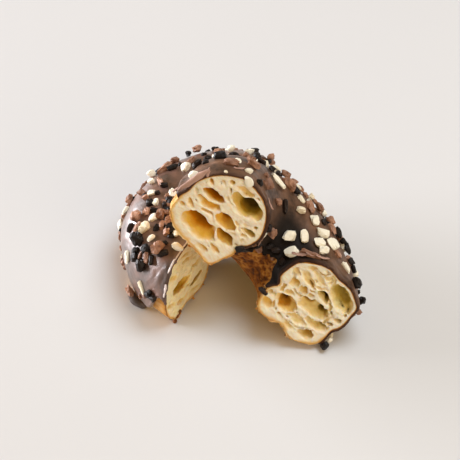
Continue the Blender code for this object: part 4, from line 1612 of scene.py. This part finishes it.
@dataclass
class Flakes:
    """Thin flakes on one half, each a closed sheet: a leaf with a ragged outline, arched along its length."""

    half: HalfRing
    name: str
    flakes: tuple[Flake, ...]
    growth: float
    seed: int
    rows: int = 8
    columns: int = 4

    def frames(self) -> tuple[Array, Array, Array, Array]:
        """Return each flake's middle and the directions of its length, its width and its outer side."""
        half = self.half
        ring, section, turn, tilt, lift, roll = (
            np.array([getattr(flake, key) for flake in self.flakes])
            for key in ("ring", "section", "turn", "tilt", "lift", "roll"))
        middle = half.point(ring, section, self.growth + lift)
        along = half.point(ring + 0.5, section) - half.point(ring - 0.5, section)
        around = half.point(ring, section + 0.5) - half.point(ring, section - 0.5)
        along = unit(along)
        around = unit(around - along * (around * along).sum(-1, keepdims=True))
        outer = np.cross(along, around)
        angle, rise = np.radians(turn)[:, None], np.radians(tilt)[:, None]
        flat_way = np.cos(angle) * along + np.sin(angle) * around
        way = np.cos(rise) * flat_way + np.sin(rise) * outer
        up = np.cos(rise) * outer - np.sin(rise) * flat_way
        wide = np.cross(up, way)
        spin = np.radians(roll)[:, None]
        return middle, way, np.cos(spin) * wide + np.sin(spin) * up, np.cos(spin) * up - np.sin(spin) * wide

    def build(self, material: Material) -> Object:
        """Return the flakes as one piece of closed sheets, each a top and a bottom joined round its edge."""
        rng = np.random.default_rng(self.seed)
        count = len(self.flakes)
        length, width, curl, thickness = (
            np.array([getattr(flake, key) for flake in self.flakes])[:, None, None]
            for key in ("length", "width", "curl", "thickness"))
        u = np.linspace(-1.0, 1.0, self.rows)[None, :, None]
        v = np.linspace(-1.0, 1.0, self.columns)[None, None, :]
        ragged = 1.0 + rng.uniform(-0.28, 0.28, (count, self.rows, 2))
        side = np.where(v < 0.0, ragged[..., :1], ragged[..., 1:])
        across = v * width / 2.0 * side * np.sqrt(1.0 - 0.82 * np.abs(u) ** 2.4)
        ripple = rng.normal(scale=0.07, size=(count, self.rows, self.columns)) * width
        height = curl * (u * u - 0.33) + ripple
        half_thick = thickness / 2.0 * (1.0 - 0.55 * v * v) * (1.0 - 0.4 * u * u)
        middle, way, wide, up = (part[:, None, None, :] for part in self.frames())
        sheet = middle + way * (u * length / 2.0)[..., None] + wide * across[..., None]
        sheet = sheet + up * height[..., None]
        top, bottom = sheet + up * half_thick[..., None], sheet - up * half_thick[..., None]
        loop = np.concatenate([top, bottom[:, :, ::-1]], axis=2)
        each = self.rows * 2 * self.columns
        near = end_strip(self.columns)
        far = near[:, ::-1] + each - 2 * self.columns
        one = np.concatenate([sheet_faces(self.rows, 2 * self.columns), near, far])
        baked = np.repeat(rng.uniform(0.1, 0.7, count), each)
        flake = np.repeat(rng.random(count), each)
        values = {"baked": baked, "flake": flake, "broken": baked * 0.3, "shade": baked * 0.2}
        points = self.half.place(loop.reshape(-1, 3))
        points[:, 2] = np.maximum(points[:, 2], CLEAR)
        piece = write_piece(self.name, points, [repeated_faces(one, count, each)], material, values)
        turn_outwards(piece)
        return piece


def rim_flakes(half: HalfRing, end: End, count: int, sections: Span, seed: int) -> tuple[Flake, ...]:
    """Return small crust flakes thrown along a cut's bare rim, most of them along it."""
    rng = np.random.default_rng(seed)
    found = []
    for _ in range(count):
        section = rng.uniform(*sections)
        ring = float(half.ring_at_cut(end, np.array(section), 0.0, rng.uniform(-0.1, 1.6)))
        length = 0.7 + 2.6 * rng.random() ** 2
        found.append(Flake(
            ring, section, length, length * rng.uniform(0.25, 0.55), 90.0 + rng.normal(0.0, 35.0),
            rng.normal(10.0, 18.0), rng.uniform(0.0, 0.35), rng.normal(0.0, 0.25), 0.22))
    return tuple(found)


def turn_outwards(piece: Object) -> None:
    """Turn the faces of each closed body of a piece outwards."""
    mesh = bmesh.new()
    mesh.from_mesh(piece.data)
    bmesh.ops.recalc_face_normals(mesh, faces=mesh.faces[:])
    mesh.to_mesh(piece.data)
    mesh.free()


@dataclass(frozen=True)
class Ball:
    """A ball of a run or a crumb: the pixel where the photo shows it, its height and its radius."""

    x: float
    y: float
    height: float
    radius: float


@dataclass
class Run:
    """Chocolate that ran down and set at the foot: balls smoothly joined and cut level at the floor."""

    name: str
    balls: tuple[Ball, ...]
    voxel: float = 0.35
    blend: float = 1.6
    seed: int = 610

    def build(self, material: Material) -> Object:
        """Return the run as one closed piece, found as the zero surface of the balls' field."""
        start = EYE.place()
        ways = [EYE.ray(ball.x, ball.y) for ball in self.balls]
        middles = np.array([
            start + way * (ball.height - start[2]) / way[2] for way, ball in zip(ways, self.balls)])
        reach = max(ball.radius for ball in self.balls) + 1.5
        low, high = middles.min(axis=0) - reach, middles.max(axis=0) + reach
        places = lattice_places(low, high - low, self.voxel, 2)
        values = np.full(places.shape[:-1], FAR)
        for middle, ball in zip(middles, self.balls):
            distance = np.linalg.norm(places - middle, axis=-1) - ball.radius
            values = smooth_min(values, distance, self.blend)
        values = values + 0.22 * value_noise(places, 2.2, self.seed)
        values = np.maximum(values, 2.0 * CLEAR - places[..., 2])
        points, quads = surface_net(values, low, self.voxel)
        named = {name: np.full(len(points), value)
                 for name, value in (("broken", 0.0), ("shade", 0.8), ("baked", 0.8), ("flake", 0.0))}
        return write_piece(self.name, points, [quads], material, named)


FOOT_RUN = many(
    Ball,
    (131, 293, 4.6, 1.5), (134, 298, 3.0, 1.9), (138, 301, 2.2, 2.2), (143, 304, 1.6, 1.9),
)
LEFT_FOOT_CRUMBS = many(
    Ball,
    (174, 313, 1.9, 1.4), (176, 316, 1.3, 1.2), (175, 321, 0.8, 1.0), (171, 317, 0.9, 0.9),
    (178, 313, 1.6, 0.9), (180, 311, 1.8, 0.7),
)
# Shards along the leaning half's broken coating; their pale finish is partly painted sheen
RIM_SHARDS = many(
    Flake,
    (182.6, 9.4, 14.6, 2.2, 90.0, -2.0, 0.5, 0.1, 0.8, 90.0),
    (182.4, 28.5, 4.0, 1.1, 90.0, 62.0, 1.0, 0.4, 0.6, 90.0),
    (177.0, -17.0, 4.0, 1.8, 100.0, -10.0, 0.6, 0.0, 0.6), (176.0, 62.0, 4.0, 1.2, 86.0, 12.0, 0.8, 0.3, 0.4),
    (177.5, 120.0, 5.0, 1.3, 92.0, 8.0, 0.6, 0.4, 0.4), (176.5, 170.0, 4.0, 1.4, 75.0, 14.0, 0.5, 0.3, 0.5),
    (2.5, 150.0, 6.0, 1.8, 80.0, 10.0, 1.4, 0.5, 0.5), (4.0, 138.0, 5.0, 1.5, 110.0, 15.0, 1.6, 0.3, 0.5),
    (3.5, 125.0, 5.5, 1.6, 96.0, 6.0, 1.3, 0.3, 0.4), (3.0, 20.0, 4.0, 1.2, 92.0, 9.0, 0.7, 0.3, 0.4),
)

# Pale thin flakes at the flat half's broken coating by its left cut: painted glints, standing for light
# caught on the broken edge
GLINTS = many(
    Flake,
    (171.3, 54.0, 6.2, 0.75, 99.0, 0.0, 0.10, 0.10, 0.30),
    (169.9, 71.0, 6.2, 0.70, 101.0, 0.0, 0.10, 0.10, 0.30),
    (167.8, 88.0, 5.0, 0.55, 103.0, 0.0, 0.10, 0.10, 0.30),
    (172.6, 26.0, 3.6, 1.10, 94.0, 3.0, 0.15, 0.05, 0.35),
    (172.7, 17.0, 2.6, 0.80, 84.0, 4.0, 0.15, 0.05, 0.35),
)


# ----- studio

def stand(name: str, data: bpy.types.ID, place: Place, turns: Triple) -> Object:
    """Put a light or a camera into the scene at a place in millimetres."""
    holder = bpy.data.objects.new(name, data)
    holder.location = Vector(place) * MM
    holder.rotation_euler = turns
    bpy.context.scene.collection.objects.link(holder)
    return holder


@dataclass(frozen=True)
class Softbox:
    """An oval light: where it stands, how wide and high it is, its power and its colour."""

    name: str
    place: Place
    width: float
    height: float
    power: float
    colour: Colour


@dataclass
class Studio:
    """A plain pale floor, soft light from the left, from above and from the front right, and the camera."""

    floor_size: float = 6000.0
    floor_colour: Colour = (0.722, 0.724, 0.732)
    sky: Colour = (1.0, 0.62, 0.23)
    sky_strength: float = 0.26
    lights: tuple[Softbox, ...] = (
        Softbox("window", (-1150.0, 420.0, 160.0), 1150.0, 280.0, 33.0, (0.93, 0.94, 1.0)),
        Softbox("ceiling", (350.0, 60.0, 1150.0), 800.0, 800.0, 10.6, (0.82, 0.91, 1.0)),
        Softbox("card", (560.0, -740.0, 620.0), 820.0, 820.0, 3.8, (1.0, 0.84, 0.62)),
    )

    def build(self, effects: Effects) -> None:
        """Make the floor, the lights and the camera."""
        half = self.floor_size / 2.0
        corners = np.array(((-half, -half, 0.0), (half, -half, 0.0), (half, half, 0.0), (-half, half, 0.0)))
        material, graph, shader = new_material("warm_white_surface")
        shaded = tuple(0.985 * part for part in self.floor_colour)
        tint = graph.mix(effects.patches(graph, 6.0, 0.3, 0.7), self.floor_colour, shaded)
        connect(graph, shader, effects.height(graph, 900.0, 2500.0, 0.5), 0.04, 0.0002,
                {"Base Color": tint, "Roughness": 0.9})
        floor = write_piece("floor", corners, [np.array(((0, 1, 2, 3),))], material)
        for box in self.lights:
            lamp = bpy.data.lights.new(box.name, "AREA")
            lamp.shape = "ELLIPSE"
            lamp.size, lamp.size_y = box.width * MM, box.height * MM
            lamp.energy = box.power
            lamp.color = box.colour
            aim = Vector(EYE.target) * MM - Vector(box.place) * MM
            stand(box.name, lamp, box.place, aim.to_track_quat("-Z", "Y").to_euler())
        world = bpy.data.worlds.new("soft_sky")
        world.use_nodes = True
        back = world.node_tree.nodes["Background"]
        back.inputs["Color"].default_value = (*self.sky, 1.0)
        back.inputs["Strength"].default_value = self.sky_strength
        bpy.context.scene.world = world
        bpy.context.scene.view_settings.view_transform = "Standard"
        camera = bpy.data.cameras.new("camera")
        camera.sensor_width = EYE.sensor
        camera.lens = EYE.length * EYE.sensor / EYE.width
        camera.clip_end = 20.0
        turns = (math.radians(90.0 - EYE.elevation), 0.0, 0.0)
        bpy.context.scene.camera = stand("camera", camera, EYE.place(), turns)


# ----- the doughnut

class Stuff(Enum):
    """What a piece is made of: dough or chocolate."""

    DOUGH = "dough"
    CHOCOLATE = "chocolate"


FINISHES = (
    CrustFinish("fried_crust"),
    CrumbFinish("open_crumb"),
    CrumbFinish("buttery_crumb", cream=(0.98, 0.83, 0.48), butter=(0.95, 0.74, 0.31),
                honey=(0.82, 0.56, 0.09), amber=(0.52, 0.28, 0.008), straw=(0.74, 0.53, 0.12),
                olive=(0.42, 0.28, 0.02), pale=(0.97, 0.89, 0.63)),
    CrumbFinish("airy_crumb", cream=(0.96, 0.87, 0.68), butter=(0.93, 0.76, 0.43),
                honey=(0.90, 0.58, 0.12), straw=(0.86, 0.71, 0.33), olive=(0.56, 0.42, 0.09),
                moss=(0.22, 0.15, 0.02)),
    ChocolateFinish("flat_chocolate", (0.030, 0.014, 0.008), (0.20, 0.094, 0.062), (0.34, 0.46),
                    coat=1.0, specular=1.0, coat_index=1.65, sheen=(1.0, 0.84, 0.80)),
    ChocolateFinish("leaning_chocolate", (0.050, 0.027, 0.016), (0.21, 0.108, 0.062), (0.38, 0.55),
                    coat=0.05, specular=0.28),
    # the shards' broken chocolate, made pale partly as painted sheen
    ChocolateFinish("broken_chocolate", (0.36, 0.20, 0.145), (0.58, 0.35, 0.27), (0.40, 0.55),
                    (0.40, 0.21, 0.14), coat=0.1),
    # painted glints: pale colours that stand for light caught on the coating's broken edge
    ChocolateFinish("shining_rim", (0.78, 0.66, 0.61), (0.90, 0.82, 0.78), (0.30, 0.45),
                    (0.78, 0.66, 0.61), coat=0.6),
    BitFinish("chopped_nut", (0.95, 0.90, 0.74), (0.76, 0.56, 0.28), (0.66, 0.92), 0.55, 0.4),
    BitFinish("milk_chocolate_bit", (0.46, 0.235, 0.14), (0.17, 0.070, 0.034), (0.42, 0.7), 0.45, 0.7),
    BitFinish("dark_chocolate_bit", (0.009, 0.006, 0.005), (0.035, 0.018, 0.012), (0.55, 0.85),
              0.42, 0.5, 0.25),
)
BIT_LOOKS = {Kind.NUT: "chopped_nut", Kind.MILK: "milk_chocolate_bit", Kind.DARK: "dark_chocolate_bit"}

COATINGS = (
    Coating(FLAT_HALF, seed=500, drips=(
        Drip(169.5, Side.OUTER, -36.0, 6.5), Drip(156.0, Side.OUTER, 4.0, 4.0),
        Drip(118.0, Side.OUTER, 6.0, 5.0), Drip(70.0, Side.OUTER, 7.0, 4.0), Drip(35.0, Side.OUTER, 4.0, 4.0),
    )),
    Coating(LEANING_HALF, seed=700, drips=(
        Drip(60.0, Side.OUTER, 6.0, 4.0), Drip(100.0, Side.OUTER, 5.0, 5.0),
        Drip(140.0, Side.OUTER, 4.0, 4.0), Drip(48.0, Side.HOLE, -8.0, 18.0),
        Drip(108.0, Side.HOLE, -9.0, 14.0), Drip(127.0, Side.HOLE, 7.0, 6.0),
        Drip(2.0, Side.HOLE, 26.0, 22.0),
    )),
)

# The crumb at the four cut ends, and the name of its finish
CRUMB_FACES = (
    (CrumbFace(LEANING_HALF, End.LEFT, "leaning_half_upper_crumb", UPPER_FRONT_CELLS,
               Weave(202, 40, (0.30, 0.70), 8, 0.66, 0.8, 2.6, 0.85, fibre=0.08, small_depth=(0.6, 1.1)),
               (-0.06, 0.05, 0.18), 0.23), "open_crumb"),
    (CrumbFace(LEANING_HALF, End.RIGHT, "leaning_half_lower_crumb", LOWER_FRONT_CELLS,
               Weave(101, 74, (0.35, 0.8), 8, 0.36, 0.85, 3.0, 0.72, 0.75, 0.14, 0.5, 0.34, (0.8, 1.4)),
               (0.03, 0.02, 0.78), 0.246), "airy_crumb"),
    (CrumbFace(FLAT_HALF, End.LEFT, "flat_half_left_crumb", LEFT_CELLS,
               Weave(303, 26, (0.28, 0.50), 8, 0.50, 0.7, 4.6, 0.85, fibre=0.24, small_depth=(0.7, 1.2)),
               (0.0, 0.0, 0.55)), "buttery_crumb"),
    (CrumbFace(FLAT_HALF, End.RIGHT, "flat_half_right_crumb", HIDDEN_CELLS,
               Weave(404, 60, (0.4, 1.0), 8, 0.50, 0.7), (0.0, 0.0, 0.4)), "buttery_crumb"),
)


@dataclass
class Doughnut:
    """Both halves with everything on them, their finishes by name and their coatings by half."""

    effects: Effects
    looks: dict[str, Material] = field(default_factory=dict)
    coats: dict[str, Object] = field(default_factory=dict)

    def report(self, piece: Object, stands_for: str = "") -> None:
        """Hang a piece on the doughnut's body, hide the CAD node it stands for, and log it.

        Args:
            piece: The piece, whose name begins with its half's.
            stands_for: The CAD node that it replaces, if any.
        """
        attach(piece, "root")
        if stands_for:
            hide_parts(stands_for)
        LOG.info("%s: %d corners, %d faces", piece.name, len(piece.data.vertices), len(piece.data.polygons))

    def cover(self) -> None:
        """Build each half's crust and the coating over it."""
        for coating in COATINGS:
            half = coating.half
            crust = Crust(half).build(self.looks["fried_crust"])
            self.report(crust, f"{half.name}_dough")
            coat = coating.build(self.looks[half.name.replace("half", "chocolate")])
            self.report(coat, f"{half.name}_coating")
            self.coats[half.name] = coat

    @staticmethod
    def details() -> tuple[tuple[Flakes | Run, str, Stuff], ...]:
        """Return the small things at the cuts and the foot, with their finishes and stuff."""
        lower = rim_flakes(LEANING_HALF, End.RIGHT, 64, (205.0, 300.0), 31)
        upper = rim_flakes(LEANING_HALF, End.LEFT, 22, (208.0, 300.0), 32)
        left = rim_flakes(FLAT_HALF, End.LEFT, 26, (200.0, 318.0), 33)
        right = rim_flakes(FLAT_HALF, End.RIGHT, 30, (200.0, 318.0), 34)
        return (
            (Flakes(LEANING_HALF, "leaning_half_crust_flakes", lower + upper, 0.0, 41),
             "fried_crust", Stuff.DOUGH),
            (Flakes(FLAT_HALF, "flat_half_crust_flakes", left + right, 0.0, 42), "fried_crust", Stuff.DOUGH),
            (Flakes(LEANING_HALF, "leaning_half_rim_shards", RIM_SHARDS, COAT_THICKNESS, 43),
             "broken_chocolate", Stuff.CHOCOLATE),
            # painted glints along the flat half's broken coating
            (Flakes(FLAT_HALF, "flat_half_rim_shards", GLINTS, COAT_THICKNESS, 44),
             "shining_rim", Stuff.CHOCOLATE),
            (Run("flat_half_foot_run", FOOT_RUN), "flat_chocolate", Stuff.CHOCOLATE),
            (Run("flat_half_foot_crumbs", LEFT_FOOT_CRUMBS, 0.25, 0.6), "fried_crust", Stuff.DOUGH),
        )

    def build(self) -> None:
        """Build the crusts and coatings, the crumb faces, the small things and the toppings."""
        self.looks = {finish.name: finish.build(self.effects) for finish in FINISHES}
        self.cover()
        for face, look in CRUMB_FACES:
            self.report(face.build(self.looks[look]))
        for detail, look, stuff in self.details():
            self.report(detail.build(self.looks[look]))
        for piece in Toppings(self.coats).build({kind: self.looks[look] for kind, look in BIT_LOOKS.items()}):
            self.report(piece)


def main() -> None:
    """Build the doughnut and its studio."""
    logging.basicConfig(level=logging.INFO, format="%(message)s")
    effects = Effects()
    Studio().build(effects)
    Doughnut(effects).build()


if __name__ == "__main__":
    main()
